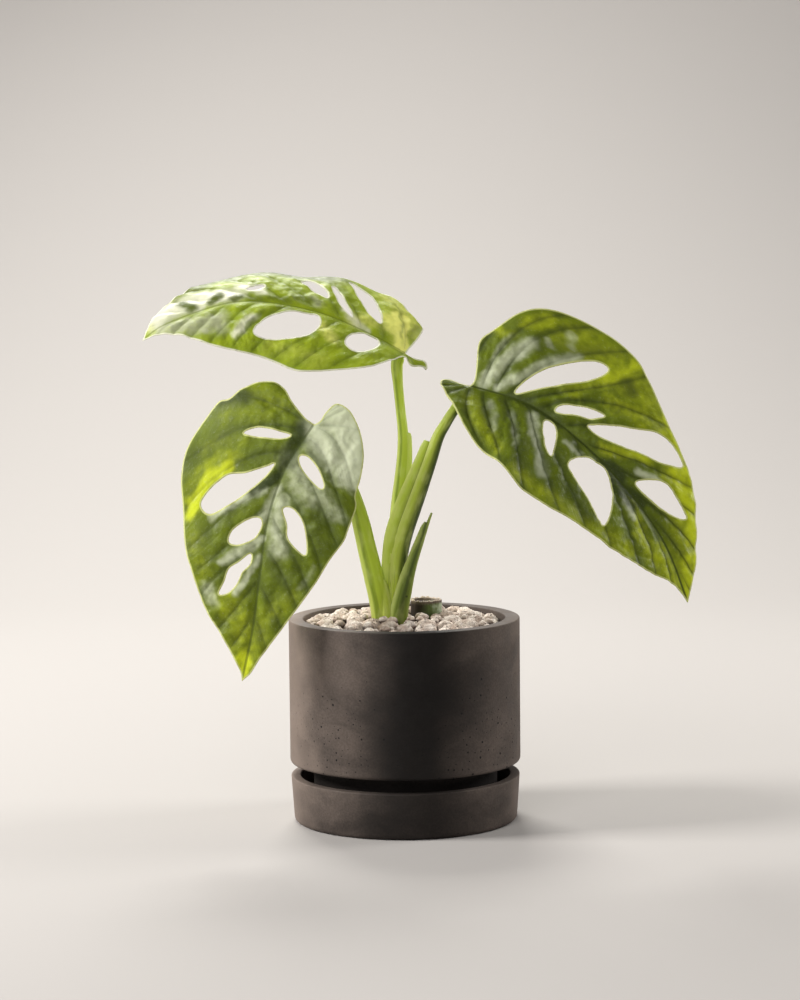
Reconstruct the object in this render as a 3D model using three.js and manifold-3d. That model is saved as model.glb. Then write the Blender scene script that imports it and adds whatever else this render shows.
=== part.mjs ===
// Potted mint swiss cheese vine: three pierced leaves on stalks, in a round concrete pot on its saucer.
// Millimetres, +Z up. The origin is the centre of the saucer's flat underside, and -Y is the front.
import * as THREE from 'three';
import { mergeVertices } from 'three/addons/utils/BufferGeometryUtils.js';
import Module from 'manifold-3d';

const wasm = await Module();
wasm.setup();

// Pot and saucer sizes
const GAP = 0.3;
const LATHE_SIDES = 48;
const POT_RADIUS = 60;
const POT_WALL = 7.7;
const RIM_HEIGHT = 105.7;
const BODY_UNDERSIDE = 30.7;
const BODY_CORNER = 1.8;
const RIM_EDGE = 0.6;
const FOOT_RADIUS = 47.8;
const FLOOR_THICKNESS = 7.5;
const FLOOR_SLOPE = 4;
const WELL_RADIUS = FOOT_RADIUS - POT_WALL;
const DRAIN_RADIUS = 6;
const SAUCER_RADIUS = 59.6;
const SAUCER_BASE_RADIUS = 58.2;
const SAUCER_WALL = 5.1;
const SAUCER_HEIGHT = 24;
const SAUCER_FLOOR = 6.3;
const SAUCER_CORNER = 2;

// Filling: potting mix, then a top dressing of pumice lumps
const MIX_TOP = 97;
const BED_TOP = 101.6;
const BED_MOUND = 1.4;
const STONE_SPACING = 9.2;
const STONE_RADIUS = 4.4;
const STONE_FIELD = 49;

// Stems: the buried crown that the stalks grow from, and the old stem that was cut off beside it
const CROWN = { x: -6.5, y: -9.5, radius: 8.6, bottom: 74, top: 101.4 };
const OLD_STEM = { x: 11.6, y: 4, radius: 8.1, bottom: 74, top: 114.4, dish: 1.3 };

// Roots in the potting mix: [distance out, height from the stem's foot, half width]
const ROOT = [[2, 4, 2.2], [7, -6, 1.9], [13, -20, 1.5], [17, -38, 1.1], [18, -48, 0.7]];
const CROWN_ROOTS = [140, 185, 230, 280, 325];
const OLD_STEM_ROOTS = [-20, 35, 95];

// Leaf blades
const BLADE_THICKNESS = 0.9;
const BLADE_MESH = 5.4;
const BLADE_HALF_WIDTH = 45;
const VEIN_LEAN = 0.25;
const VEIN_LEAN_GAIN = 0.013;
const VEIN_FAN = 25;
const VEIN_SWEEP = 0.00012;
const DEG = Math.PI / 180;

// Each leaf is drawn flat, as [along, across] from the point where its stalk joins, and is then bent.
// rib is the midrib in space, face is the way its upper side looks at the rib, and plus and minus are its
// two halves: fold is the lift beside the rib and curl the droop out to the edge, at base, middle and tip.
const LEFT_LEAF = {
  rib: [[-45.4, -26, 207.8], [-59.8, -32.7, 185.7], [-68.5, -39.3, 160.7], [-72.5, -44, 134.1],
    [-76.3, -47.2, 107.2], [-82.1, -49, 80.6]],
  face: [-0.1, -0.95, 0.25],
  plus: { fold: [6, 5, 4], curl: [22, 19, 16], wave: [1.2, 48, 0.4] },
  minus: { fold: [6, 5, 4], curl: [22, 19, 16], wave: [1.4, 40, 1.2] },
  lobeBend: 18,
  puff: 1,
  veins: [-45, -20, -8, 4, 18, 33, 47, 62, 82, 104, 126],
  minusEdge: [[-1, 0.5], [-1, -2], [-1.5, -6], [-5, -15.5], [-9, -22.5], [-9.5, -29.5], [-5, -37],
    [2.5, -42], [10.5, -45], [14, -49.5], [20.5, -51.5], [31, -53], [43, -50], [57, -45], [73, -40],
    [88.5, -33], [104, -25], [119, -12.5], [131, -2.5], [136.5, 0]],
  plusEdge: [[136.5, 0], [131, 4], [121.5, 7.5], [107, 15], [90, 25], [72, 34], [60, 39.5], [48, 41],
    [32.5, 41.5], [21.5, 38.5], [9.5, 35.5], [0, 30.5], [-9, 23], [-15, 14.5], [-17, 8], [-15.5, 3.5],
    [-9, 2], [-4, 2], [-1, 0.5]],
  holes: [
    [[20.5, -28], [15.5, -23], [12, -12.5], [10.5, -6.5], [15, -10.5], [19.5, -21.5]],
    [[26.5, -6], [29, -9], [35, -17], [38.5, -26], [47.5, -33.5], [54, -35.5], [56.5, -29.5], [51, -21],
      [42, -13], [33, -7.5]],
    [[54.5, -3.5], [54.5, -7], [58, -12.5], [62.5, -17], [67.5, -17.5], [68, -12], [64, -5], [58, -2.5]],
    [[72, -6], [77, -11.5], [81, -16], [87.5, -17.5], [94, -19.5], [93, -15], [88, -11], [82, -9], [77, -5.5]],
    [[17, 3.5], [15.5, 8], [19, 16], [25.5, 21.5], [29, 21], [26, 14], [21, 6]],
    [[47, 6.5], [45.5, 11], [51, 17.5], [60, 21], [69.5, 22], [67, 17], [61.5, 12], [54.5, 10.5]],
  ],
};

const RIGHT_LEAF = {
  rib: [[34.8, -14, 226.6], [65.6, -19.6, 216.4], [91.7, -25.3, 196.9], [114.2, -28.6, 173],
    [132.8, -28.8, 145.7], [144.9, -25, 115.2]],
  face: [0.3, -0.8, 0.42],
  plus: { fold: [18, 11, 4], curl: [6, 8, 10], wave: [1, 52, 0] },
  minus: { fold: [18, 11, 4], curl: [6, 8, 10], wave: [1.2, 44, 2] },
  lobeBend: 10,
  puff: 1.1,
  veins: [-40, -15, 0, 11, 20, 32, 47.5, 62, 77, 87, 106, 128, 150],
  minusEdge: [[0, 0], [-5, -0.5], [-11, 0], [-14.5, -2], [-14, -6], [-9, -12], [-3, -18.5], [7, -31],
    [19, -40.5], [38.5, -45.5], [55.5, -48], [67, -46.5], [80, -44], [101.5, -35], [118.5, -29],
    [138, -18], [151.5, -6], [160, -1.5], [166, 0]],
  plusEdge: [[166, 0], [162, 2.5], [151, 10.5], [136, 19], [124, 27], [111, 34], [96.5, 39.5], [81.5, 45],
    [70, 50], [59, 54.5], [47.5, 56.5], [36.5, 55.5], [23.5, 51.5], [14, 45], [5.5, 35.5], [-1.5, 27.5],
    [-3, 22], [-1.5, 15], [1, 5.5], [1, 2], [0, 0]],
  holes: [
    [[23, 4], [27.5, 5], [39.5, 17.5], [49, 30.5], [51.5, 40], [45.5, 39.5], [37.5, 30], [29, 17]],
    [[44.5, 4.5], [46, 9], [55, 15.5], [64.5, 19], [61, 13.5], [53.5, 9], [48, 5]],
    [[62, 9], [65.5, 13], [79, 25.5], [91.5, 35.5], [107, 33.5], [101, 25.5], [89, 18.5], [72, 9.5]],
    [[99, 5.5], [103, 14], [110, 19], [126.5, 18], [124.5, 13], [115, 8]],
    [[44.5, -8], [44.5, -3], [50, -4], [56, -13.5], [58.5, -21.5], [51.5, -17.5]],
    [[68.5, -18], [69.5, -9], [76.5, -3.5], [84, -2.5], [94.5, -9.5], [104, -24.5], [97.5, -26], [84, -22.5]],
  ],
};

const TOP_LEAF = {
  rib: [[2.2, 4, 242.2], [-17, 2.2, 253], [-46, -0.2, 265], [-83, -3.4, 270], [-118, -8.4, 260],
    [-132.6, -12, 251]],
  face: [0, -0.52, 0.86],
  plus: { fold: [25, -2, 12], curl: [24, 32, 40], wave: [0.6, 50, 1] },
  minus: { fold: [4, 9.5, -1], curl: [4, 45, 42], wave: [1, 36, 0.4] },
  lobeBend: 20,
  puff: 1.2,
  veins: [-40, -14, 0, 12, 24, 35, 48, 62, 77, 92, 108, 124],
  minusEdge: [[0, 0], [-0.5, -3.7], [-2, -10], [-3.7, -19.4], [-3.8, -25], [-2, -27], [6.6, -31.6],
    [11.5, -36.5], [18, -41.5], [32, -45], [46, -46], [60, -45.5], [74, -44], [88, -41], [100, -36],
    [111, -29.5], [121, -22], [130, -14], [137, -7], [145.5, 0]],
  plusEdge: [[145.5, 0], [138, 5], [129, 12], [122, 18.5], [115.5, 24.5], [108, 29.5], [97, 34], [82, 36.5],
    [73, 38.5], [66, 40.5], [60, 42.5], [53, 43.5], [41, 41.5], [26, 36], [16, 31], [10, 24.5], [5, 16],
    [1, 9.5], [-3, 6.2], [-7, 4.4], [-10.5, 3], [-12.5, 1.4], [-10, 0.8], [-5, 0.6], [0, 0]],
  holes: [
    [[50, 4], [48.5, 12], [54, 20], [62, 24], [72, 26], [82, 25], [84, 21], [76, 12], [66, 6], [58, 4]],
    [[18, 2.5], [15.5, 7], [17, 13], [22, 19.5], [27.5, 22], [32, 18], [31, 10], [25, 4]],
    [[38.5, -40], [33, -37.5], [26, -32], [21.5, -24.3], [18, -14], [19, -11], [22, -11.7], [26.5, -16],
      [31, -22.5], [35, -30]],
    [[33, -5.5], [36, -7], [40.5, -12], [43.5, -17.5], [46, -24.5], [45, -27], [42, -22], [38.5, -15.5],
      [34.5, -9.5]],
    [[47.5, -13.5], [52, -15.5], [57, -20], [60.5, -26], [58, -29], [53.5, -26.5], [50, -22], [47.5, -17.5]],
    [[78.5, -13.5], [80.5, -10.5], [83.5, -8.6], [87, -9], [86, -11.4], [83, -13.6], [80, -15]],
  ],
};

// Stalks as stations from the crown up: [x, y, z, half width, half depth]
const LEFT_STALK = [[-9.5, -9.8, 101.7, 4.8, 4], [-12.4, -12.2, 116.4, 5, 3.6], [-15.7, -14, 129.6, 5.1, 3.3],
  [-18.9, -15.2, 143.7, 4.8, 3.1], [-21.8, -16.8, 157.3, 4.5, 3], [-25, -18.4, 170, 3.7, 2.8],
  [-30, -20.2, 183.4, 3, 2.7], [-37, -22, 197, 2.6, 2.6], [-45, -23.6, 205.6, 2.7, 2.7],
  [-48.2, -29, 206.4, 2.8, 2.8]];
const RIGHT_STALK = [[-4.6, -10.6, 101.7, 4.3, 3.9], [-3.6, -11.8, 124, 4.4, 3.7], [-2.6, -12.6, 137.1, 4.4, 3.5],
  [0.2, -13, 150, 4.4, 3.4], [4.8, -13.2, 162.9, 4.2, 3.2], [9.5, -13.3, 175.7, 3.9, 3],
  [14.1, -13.3, 188.5, 3.5, 2.9], [18, -13.2, 199.8, 3.1, 2.7], [21.7, -13, 206.4, 2.8, 2.5],
  [26.5, -12.6, 213.9, 2.6, 2.4], [31.2, -10.8, 220.2, 2.5, 2.4], [35.2, -10.6, 225.2, 2.7, 2.6],
  [38, -15.6, 228.2, 2.8, 2.6]];
const RIGHT_SHEATH = [[-7.2, -10.8, 101.7, 5.2, 2.8], [-6, -11.6, 124, 5.6, 2.4], [-5.6, -12.2, 137.1, 5.7, 2.1],
  [-4.2, -12.6, 150, 5.4, 1.9], [-0.2, -12.8, 162.9, 5.1, 1.7], [5, -12.8, 175.7, 4.7, 1.6],
  [10.4, -12.8, 188.5, 3.8, 1.4], [12.8, -12.8, 194, 3, 1.2], [14.2, -12.8, 197.4, 1.6, 0.9]];
const TOP_STALK = [[-6.6, -7.6, 101.7, 4.4, 4], [-5.8, -6.6, 120.9, 4.1, 3.6], [-5, -5.2, 136.3, 3.8, 3.3],
  [-4, -3.8, 151.6, 3.7, 3.1], [-2.6, -2.4, 167, 3.4, 3], [-1.3, -1.2, 177.3, 3.2, 2.9], [0, -0.2, 190.1, 2.9, 2.7],
  [0.2, 1, 202, 2.7, 2.6], [-0.8, 2.6, 212.7, 2.5, 2.5], [-2, 4, 226.1, 2.6, 2.5], [-2.6, 4.6, 236, 3, 2.9],
  [-1, 4.2, 242, 3.3, 3], [0.4, 2.4, 247, 3.3, 3]];
const TOP_SHEATH = [[-2, -4.6, 150, 3.4, 1.2], [0.6, -2.6, 170, 3.4, 1.2], [2, -1, 188, 2.9, 1.2],
  [2.7, 0.4, 198.5, 2.1, 1.1], [2.9, 0.8, 201.6, 1.3, 0.9]];
const SPEAR = [[-3.6, -13.4, 101.7, 4.9, 3.4], [-2.4, -14.4, 112, 4.7, 3.2], [-0.3, -15.4, 121.1, 4.3, 2.9],
  [2, -16.2, 129.9, 3.6, 2.6], [5, -17, 138.6, 2.8, 2.2], [8.4, -17.4, 147.9, 2.3, 1.9], [10.6, -17.6, 154.2, 1.7, 1.4],
  [11.6, -17.7, 157, 0.9, 0.8]];
const SPEAR_TIP = [[10.4, -17.5, 151, 1.3, 1.1], [12.2, -17.5, 155.5, 0.9, 0.8], [14.6, -17.5, 161.8, 0.5, 0.5]];

// Colours and finish
function finish(color, roughness) {
  return new THREE.MeshStandardMaterial({ color, roughness, metalness: 0, side: THREE.DoubleSide });
}
const CONCRETE = finish(0x4b4642, 0.85);
const SAUCER_CONCRETE = finish(0x46413d, 0.85);
const POTTING_MIX = finish(0x2e241c, 0.95);
const PUMICE = finish(0xd9cbb5, 0.9);
const LEAF_GREEN = finish(0x5f7d1f, 0.42);
const TOP_LEAF_GREEN = finish(0x9bb045, 0.42);
const STALK_GREEN = finish(0x93ad3e, 0.45);
const SPEAR_GREEN = finish(0x5c7a2c, 0.5);
const CUT_STEM = finish(0x4b4a35, 0.8);

// A small repeatable source of random numbers
function randomSource(seed) {
  let state = seed >>> 0;
  return () => {
    state = (Math.imul(state, 1664525) + 1013904223) >>> 0;
    return state / 4294967296;
  };
}

// Solids
function solidOf(geometry) {
  const bare = geometry.clone();
  bare.deleteAttribute('normal');
  bare.deleteAttribute('uv');
  const merged = mergeVertices(bare, 1e-4);
  const index = Array.from(merged.index.array);
  const kept = [];
  for (let i = 0; i < index.length; i += 3) {
    const [a, b, c] = index.slice(i, i + 3);
    if (a !== b && b !== c && c !== a) kept.push(a, b, c);
  }
  const mesh = new wasm.Mesh({
    numProp: 3,
    vertProperties: new Float32Array(merged.attributes.position.array),
    triVerts: new Uint32Array(kept),
  });
  return new wasm.Manifold(mesh);
}

function largestBody(solid) {
  const bodies = solid.decompose();
  bodies.sort((a, b) => b.volume() - a.volume());
  return bodies[0];
}

function node(name, solid, material) {
  const mesh = solid.getMesh();
  const geometry = new THREE.BufferGeometry();
  geometry.setAttribute('position', new THREE.BufferAttribute(new Float32Array(mesh.vertProperties), 3));
  geometry.setIndex(Array.from(mesh.triVerts));
  geometry.computeVertexNormals();
  const part = new THREE.Mesh(geometry, material);
  part.name = name;
  return part;
}

function turned(profile, sides = LATHE_SIDES) {
  const points = profile.map(([radius, height]) => new THREE.Vector2(radius, height));
  const geometry = new THREE.LatheGeometry(points, sides);
  geometry.rotateX(Math.PI / 2);
  return solidOf(geometry);
}

// Pot, saucer and potting mix
function makePot() {
  const inner = POT_RADIUS - POT_WALL;
  const floor = SAUCER_FLOOR + GAP;
  return turned([
    [DRAIN_RADIUS, floor],
    [FOOT_RADIUS - 1, floor],
    [FOOT_RADIUS, floor + 1],
    [FOOT_RADIUS, BODY_UNDERSIDE],
    [POT_RADIUS - BODY_CORNER, BODY_UNDERSIDE],
    [POT_RADIUS - BODY_CORNER * 0.3, BODY_UNDERSIDE + BODY_CORNER * 0.3],
    [POT_RADIUS, BODY_UNDERSIDE + BODY_CORNER],
    [POT_RADIUS, RIM_HEIGHT - RIM_EDGE],
    [POT_RADIUS - RIM_EDGE, RIM_HEIGHT],
    [inner + RIM_EDGE, RIM_HEIGHT],
    [inner, RIM_HEIGHT - RIM_EDGE],
    [inner, BODY_UNDERSIDE + FLOOR_THICKNESS + FLOOR_SLOPE],
    [WELL_RADIUS, BODY_UNDERSIDE + FLOOR_THICKNESS],
    [WELL_RADIUS, floor + FLOOR_THICKNESS],
    [DRAIN_RADIUS, floor + FLOOR_THICKNESS],
    [DRAIN_RADIUS, floor],
  ]);
}

function makeSaucer() {
  const inner = SAUCER_RADIUS - SAUCER_WALL;
  return turned([
    [0, 0],
    [SAUCER_BASE_RADIUS - SAUCER_CORNER, 0],
    [SAUCER_BASE_RADIUS - SAUCER_CORNER * 0.3, SAUCER_CORNER * 0.3],
    [SAUCER_BASE_RADIUS, SAUCER_CORNER],
    [SAUCER_RADIUS, SAUCER_HEIGHT - RIM_EDGE],
    [SAUCER_RADIUS - RIM_EDGE, SAUCER_HEIGHT],
    [inner + RIM_EDGE, SAUCER_HEIGHT],
    [inner, SAUCER_HEIGHT - RIM_EDGE],
    [inner - 0.8, SAUCER_FLOOR],
    [0, SAUCER_FLOOR],
  ]);
}

function makePottingMix(stems) {
  const inner = POT_RADIUS - POT_WALL - GAP;
  const bottom = SAUCER_FLOOR + GAP + FLOOR_THICKNESS + GAP;
  const mix = turned([
    [0, bottom],
    [WELL_RADIUS - GAP, bottom],
    [WELL_RADIUS - GAP, BODY_UNDERSIDE + FLOOR_THICKNESS + GAP],
    [inner, BODY_UNDERSIDE + FLOOR_THICKNESS + FLOOR_SLOPE + GAP],
    [inner, MIX_TOP],
    [0, MIX_TOP],
  ]);
  return mix.subtract(stems);
}

// Pumice: a bed with seeded lumps sunk into it, highest towards the middle
function lump(random, radius) {
  const geometry = new THREE.IcosahedronGeometry(radius, 0);
  geometry.deleteAttribute('normal');
  geometry.deleteAttribute('uv');
  const shape = mergeVertices(geometry, 1e-4);
  const position = shape.attributes.position;
  for (let i = 0; i < position.count; i += 1) {
    const scale = 0.86 + 0.26 * random();
    position.setXYZ(i, position.getX(i) * scale, position.getY(i) * scale, position.getZ(i) * scale);
  }
  shape.scale(1 + 0.2 * random(), 0.86 + 0.2 * random(), 0.8 + 0.16 * random());
  shape.rotateZ(2 * Math.PI * random());
  shape.rotateX(0.5 * random());
  return shape;
}

function bedHeight(x, y) {
  return BED_TOP + BED_MOUND * Math.cos((Math.PI / 2) * Math.min(1, Math.hypot(x, y) / STONE_FIELD));
}

function makePumice(stems) {
  const random = randomSource(20);
  const edge = POT_RADIUS - POT_WALL - GAP;
  const bottom = MIX_TOP + GAP;
  const lumps = [turned([[0, bottom], [edge, bottom], [edge, BED_TOP], [0, BED_TOP + BED_MOUND]])];
  const rows = Math.ceil(STONE_FIELD / (STONE_SPACING * 0.87));
  for (let row = -rows; row <= rows; row += 1) {
    for (let column = -rows; column <= rows; column += 1) {
      const x = (column + (row % 2) / 2) * STONE_SPACING + 1.6 * (random() - 0.5);
      const y = row * STONE_SPACING * 0.87 + 1.6 * (random() - 0.5);
      const radius = STONE_RADIUS * (0.84 + 0.26 * random());
      const shape = lump(random, radius);
      const rise = 0.9 + 1.5 * random();
      if (Math.hypot(x, y) + radius * 1.12 > edge) continue;
      shape.translate(x, y, bedHeight(x, y) + rise - radius * 0.25);
      lumps.push(solidOf(shape));
    }
  }
  const pile = wasm.Manifold.union(lumps).trimByPlane([0, 0, 1], bottom);
  return largestBody(pile.subtract(stems));
}

// Stems and stalks
function loft(stations, sides, steps, grow = 0) {
  const centres = stations.map(([x, y, z]) => new THREE.Vector3(x, y, z));
  const sizes = stations.map(([, , , width, depth]) => new THREE.Vector3(width + grow, depth + grow, 0));
  const path = new THREE.CatmullRomCurve3(centres, false, 'catmullrom', 0.5);
  const size = new THREE.CatmullRomCurve3(sizes, false, 'catmullrom', 0.5);
  const front = new THREE.Vector3(0, -1, 0);
  const positions = [];
  const index = [];
  for (let i = 0; i <= steps; i += 1) {
    const t = i / steps;
    const centre = path.getPoint(t);
    const tangent = path.getTangent(t);
    const half = size.getPoint(t);
    const across = new THREE.Vector3().crossVectors(tangent, front).normalize();
    const deep = new THREE.Vector3().crossVectors(across, tangent).normalize();
    if (i === 0) centre.addScaledVector(tangent, -grow);
    if (i === steps) centre.addScaledVector(tangent, grow);
    for (let k = 0; k < sides; k += 1) {
      const angle = (2 * Math.PI * k) / sides;
      const point = centre.clone();
      point.addScaledVector(across, half.x * Math.cos(angle));
      point.addScaledVector(deep, half.y * Math.sin(angle));
      positions.push(point.x, point.y, point.z);
    }
  }
  for (let i = 0; i < steps; i += 1) {
    for (let k = 0; k < sides; k += 1) {
      const a = i * sides + k;
      const b = i * sides + ((k + 1) % sides);
      index.push(a, a + sides, b, b, a + sides, b + sides);
    }
  }
  for (let k = 1; k < sides - 1; k += 1) {
    const last = steps * sides;
    index.push(0, k, k + 1);
    index.push(last, last + k + 1, last + k);
  }
  const geometry = new THREE.BufferGeometry();
  geometry.setAttribute('position', new THREE.Float32BufferAttribute(positions, 3));
  geometry.setIndex(index);
  const solid = solidOf(geometry);
  return solid.volume() < 0 ? solidOf(flipped(geometry)) : solid;
}

function flipped(geometry) {
  const index = Array.from(geometry.index.array);
  for (let i = 0; i < index.length; i += 3) [index[i], index[i + 1]] = [index[i + 1], index[i]];
  geometry.setIndex(index);
  return geometry;
}

function makeRoots({ x, y, bottom }, angles, grow) {
  const roots = angles.map((angle) => {
    const [east, north] = [Math.cos(angle * DEG), Math.sin(angle * DEG)];
    const stations = ROOT.map(([out, rise, half]) => [x + out * east, y + out * north, bottom + rise, half, half]);
    return loft(stations, 5, 4, grow);
  });
  return wasm.Manifold.union(roots);
}

function makeCrown(grow = 0) {
  const { x, y, radius, bottom, top } = CROWN;
  const wide = radius + grow;
  const body = turned([
    [0, bottom - grow],
    [wide * 0.55, bottom - grow],
    [wide, bottom + 5],
    [wide, top],
    [0, top],
  ], 20);
  return body.translate([x, y, 0]).add(makeRoots(CROWN, CROWN_ROOTS, grow));
}

function makeOldStem(grow = 0) {
  const { x, y, radius, bottom, top, dish } = OLD_STEM;
  const random = randomSource(7);
  const wide = radius + grow;
  const profile = [[0, bottom - grow], [wide, bottom - grow], [wide, top], [wide - 1, top + 0.3]];
  if (!grow) profile.push([wide - 1.8, top - dish]);
  profile.push([0, grow ? top + 0.3 : top - dish]);
  const points = profile.map(([r, z]) => new THREE.Vector2(r, z));
  const geometry = new THREE.LatheGeometry(points, 22);
  geometry.rotateX(Math.PI / 2);
  geometry.deleteAttribute('normal');
  geometry.deleteAttribute('uv');
  const merged = mergeVertices(geometry, 1e-4);
  const position = merged.attributes.position;
  for (let i = 0; i < position.count; i += 1) {
    const reach = Math.hypot(position.getX(i), position.getY(i));
    const ragged = position.getZ(i) > top - 0.1 && reach > wide - 1.2;
    if (ragged && !grow) position.setZ(i, position.getZ(i) + 0.9 * (random() - 0.6));
  }
  return solidOf(merged).translate([x, y, 0]).add(makeRoots(OLD_STEM, OLD_STEM_ROOTS, grow));
}

// Leaf blades
function quadratic([base, middle, tip], t) {
  return base * (1 - t) * (1 - 2 * t) + middle * 4 * t * (1 - t) + tip * t * (2 * t - 1);
}

function bump(value, edges) {
  for (let i = 0; i + 1 < edges.length; i += 1) {
    const [from, to] = [edges[i], edges[i + 1]];
    if (value >= from && value < to) {
      const height = Math.min(1, (to - from) / 15);
      return height * Math.sin((Math.PI * (value - from)) / (to - from));
    }
  }
  return 0;
}

// Where on the midrib the side vein through a point of the flat leaf starts
function veinOrigin(along, out) {
  const straight = along - VEIN_SWEEP * out ** 3;
  const lean = straight / Math.max(out, 0.5);
  if (lean < VEIN_LEAN) return (lean - VEIN_LEAN) * VEIN_FAN;
  return (straight - VEIN_LEAN * out) / (1 + VEIN_LEAN_GAIN * out);
}

function smooth(from, to, value) {
  const t = Math.min(1, Math.max(0, (value - from) / (to - from)));
  return t * t * (3 - 2 * t);
}

function leafFrame(leaf, rib, length, along) {
  const t = Math.min(1, Math.max(0, along / length));
  const origin = rib.getPointAt(t);
  const tangent = rib.getTangentAt(t);
  const upper = new THREE.Vector3(...leaf.face);
  upper.addScaledVector(tangent, -upper.dot(tangent)).normalize();
  const side = new THREE.Vector3().crossVectors(upper, tangent);
  if (along < 0) {
    const bend = (leaf.lobeBend * DEG) / 25;
    const turn = -along * bend;
    origin.addScaledVector(tangent, -Math.sin(turn) / bend);
    origin.addScaledVector(upper, -(1 - Math.cos(turn)) / bend);
    const straightUp = upper.clone();
    upper.multiplyScalar(Math.cos(turn)).addScaledVector(tangent, -Math.sin(turn));
    tangent.multiplyScalar(Math.cos(turn)).addScaledVector(straightUp, Math.sin(turn));
  }
  return { t, origin, side, upper };
}

function leafPoint(leaf, rib, length, along, across, offset) {
  const { t, origin, side, upper } = leafFrame(leaf, rib, length, along);
  const half = across >= 0 ? leaf.plus : leaf.minus;
  const sign = across >= 0 ? 1 : -1;
  const out = Math.abs(across);
  const fold = quadratic(half.fold, t) * DEG;
  const curl = (quadratic(half.curl, t) * DEG) / BLADE_HALF_WIDTH;
  const turn = fold - curl * out;
  const reach = (Math.sin(fold) - Math.sin(turn)) / curl;
  const lift = (Math.cos(turn) - Math.cos(fold)) / curl;
  const [height, period, phase] = half.wave;
  const wave = height * (out / BLADE_HALF_WIDTH) ** 2 * Math.sin((2 * Math.PI * along) / period + phase);
  const calm = smooth(0, 5, out) * (1 - 0.6 * smooth(25, BLADE_HALF_WIDTH, out));
  const puff = leaf.puff * calm * bump(veinOrigin(along, out), leaf.veins);
  const rise = wave + puff + offset;
  const point = origin.clone();
  point.addScaledVector(side, sign * (reach - Math.sin(turn) * rise));
  point.addScaledVector(upper, lift + Math.cos(turn) * rise);
  return point;
}

function resample(points, closed, spacing) {
  const flat = points.map(([along, across]) => new THREE.Vector3(along, across, 0));
  const curve = new THREE.CatmullRomCurve3(flat, closed, 'catmullrom', 0.5);
  const count = Math.max(closed ? 8 : 4, Math.round(curve.getLength() / spacing));
  const samples = curve.getSpacedPoints(count).map((point) => [point.x, point.y]);
  samples.pop();
  return samples;
}

function inside(loop, [x, y]) {
  let within = false;
  for (let i = 0, j = loop.length - 1; i < loop.length; j = i, i += 1) {
    const [xi, yi] = loop[i];
    const [xj, yj] = loop[j];
    if (yi > y !== yj > y && x < ((xj - xi) * (y - yi)) / (yj - yi) + xi) within = !within;
  }
  return within;
}

// Delaunay triangulation of flat points, by adding them one at a time
function triangulate(points) {
  const far = 4000;
  const all = [...points, [-far, -far], [far, -far], [0, far]];
  const n = points.length;
  let triangles = [{ corners: [n, n + 1, n + 2], ...circumcircle(all, n, n + 1, n + 2) }];
  points.forEach(([x, y], i) => {
    const edges = new Map();
    const kept = [];
    for (const triangle of triangles) {
      if ((x - triangle.x) ** 2 + (y - triangle.y) ** 2 < triangle.reach) {
        const [a, b, c] = triangle.corners;
        for (const [from, to] of [[a, b], [b, c], [c, a]]) {
          if (!edges.delete(`${to},${from}`)) edges.set(`${from},${to}`, [from, to]);
        }
      } else {
        kept.push(triangle);
      }
    }
    for (const [from, to] of edges.values()) {
      kept.push({ corners: [from, to, i], ...circumcircle(all, from, to, i) });
    }
    triangles = kept;
  });
  return triangles.map(({ corners }) => corners).filter((corners) => corners.every((i) => i < n));
}

function circumcircle(points, a, b, c) {
  const [ax, ay] = points[a];
  const [bx, by] = points[b];
  const [cx, cy] = points[c];
  const d = 2 * (ax * (by - cy) + bx * (cy - ay) + cx * (ay - by));
  const a2 = ax * ax + ay * ay;
  const b2 = bx * bx + by * by;
  const c2 = cx * cx + cy * cy;
  const x = (a2 * (by - cy) + b2 * (cy - ay) + c2 * (ay - by)) / d;
  const y = (a2 * (cx - bx) + b2 * (ax - cx) + c2 * (bx - ax)) / d;
  return { x, y, reach: (ax - x) ** 2 + (ay - y) ** 2 };
}

// A missing rim edge is halved until every rim edge is an edge of some triangle
function meshFlat(loops, spacing) {
  const rims = loops.map((loop) => loop.slice());
  const outline = loops[0];
  const holes = loops.slice(1);
  const covers = (point) => inside(outline, point) && !holes.some((hole) => inside(hole, point));
  const rimPoints = loops.flat();
  const rowHeight = spacing * Math.sqrt(0.75);
  const [left, right] = [Math.min(...outline.map(([x]) => x)), Math.max(...outline.map(([x]) => x))];
  const [low, high] = [Math.min(...outline.map(([, y]) => y)), Math.max(...outline.map(([, y]) => y))];
  const grid = [];
  for (let row = 0; low + row * rowHeight < high; row += 1) {
    for (let column = 0; left + column * spacing < right; column += 1) {
      const point = [left + (column + (row % 2) / 2) * spacing, low + row * rowHeight];
      const clear = rimPoints.every(([x, y]) => Math.hypot(x - point[0], y - point[1]) > 0.6 * spacing);
      if (clear && covers(point)) grid.push([point[0] + 0.01 * row, point[1]]);
    }
  }
  for (let round = 0; round < 8; round += 1) {
    const points = [...rims.flat(), ...grid];
    const triangles = triangulate(points);
    const present = new Set();
    triangles.forEach(([a, b, c]) => [[a, b], [b, c], [c, a]].forEach(([i, j]) => {
      present.add(`${i},${j}`);
      present.add(`${j},${i}`);
    }));
    let missing = 0;
    let start = 0;
    for (const rim of rims) {
      const count = rim.length;
      const additions = [];
      for (let i = 0; i < count; i += 1) {
        const next = (i + 1) % count;
        if (!present.has(`${start + i},${start + next}`)) additions.push(i);
      }
      start += count;
      missing += additions.length;
      additions.reverse().forEach((i) => {
        const [x0, y0] = rim[i];
        const [x1, y1] = rim[(i + 1) % rim.length];
        rim.splice(i + 1, 0, [(x0 + x1) / 2, (y0 + y1) / 2]);
      });
    }
    if (!missing) {
      const centre = ([a, b, c]) => [0, 1].map((k) => (points[a][k] + points[b][k] + points[c][k]) / 3);
      return { points, triangles: triangles.filter((corners) => covers(centre(corners))) };
    }
  }
  throw new Error('a leaf edge could not be kept in its mesh');
}

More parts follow.
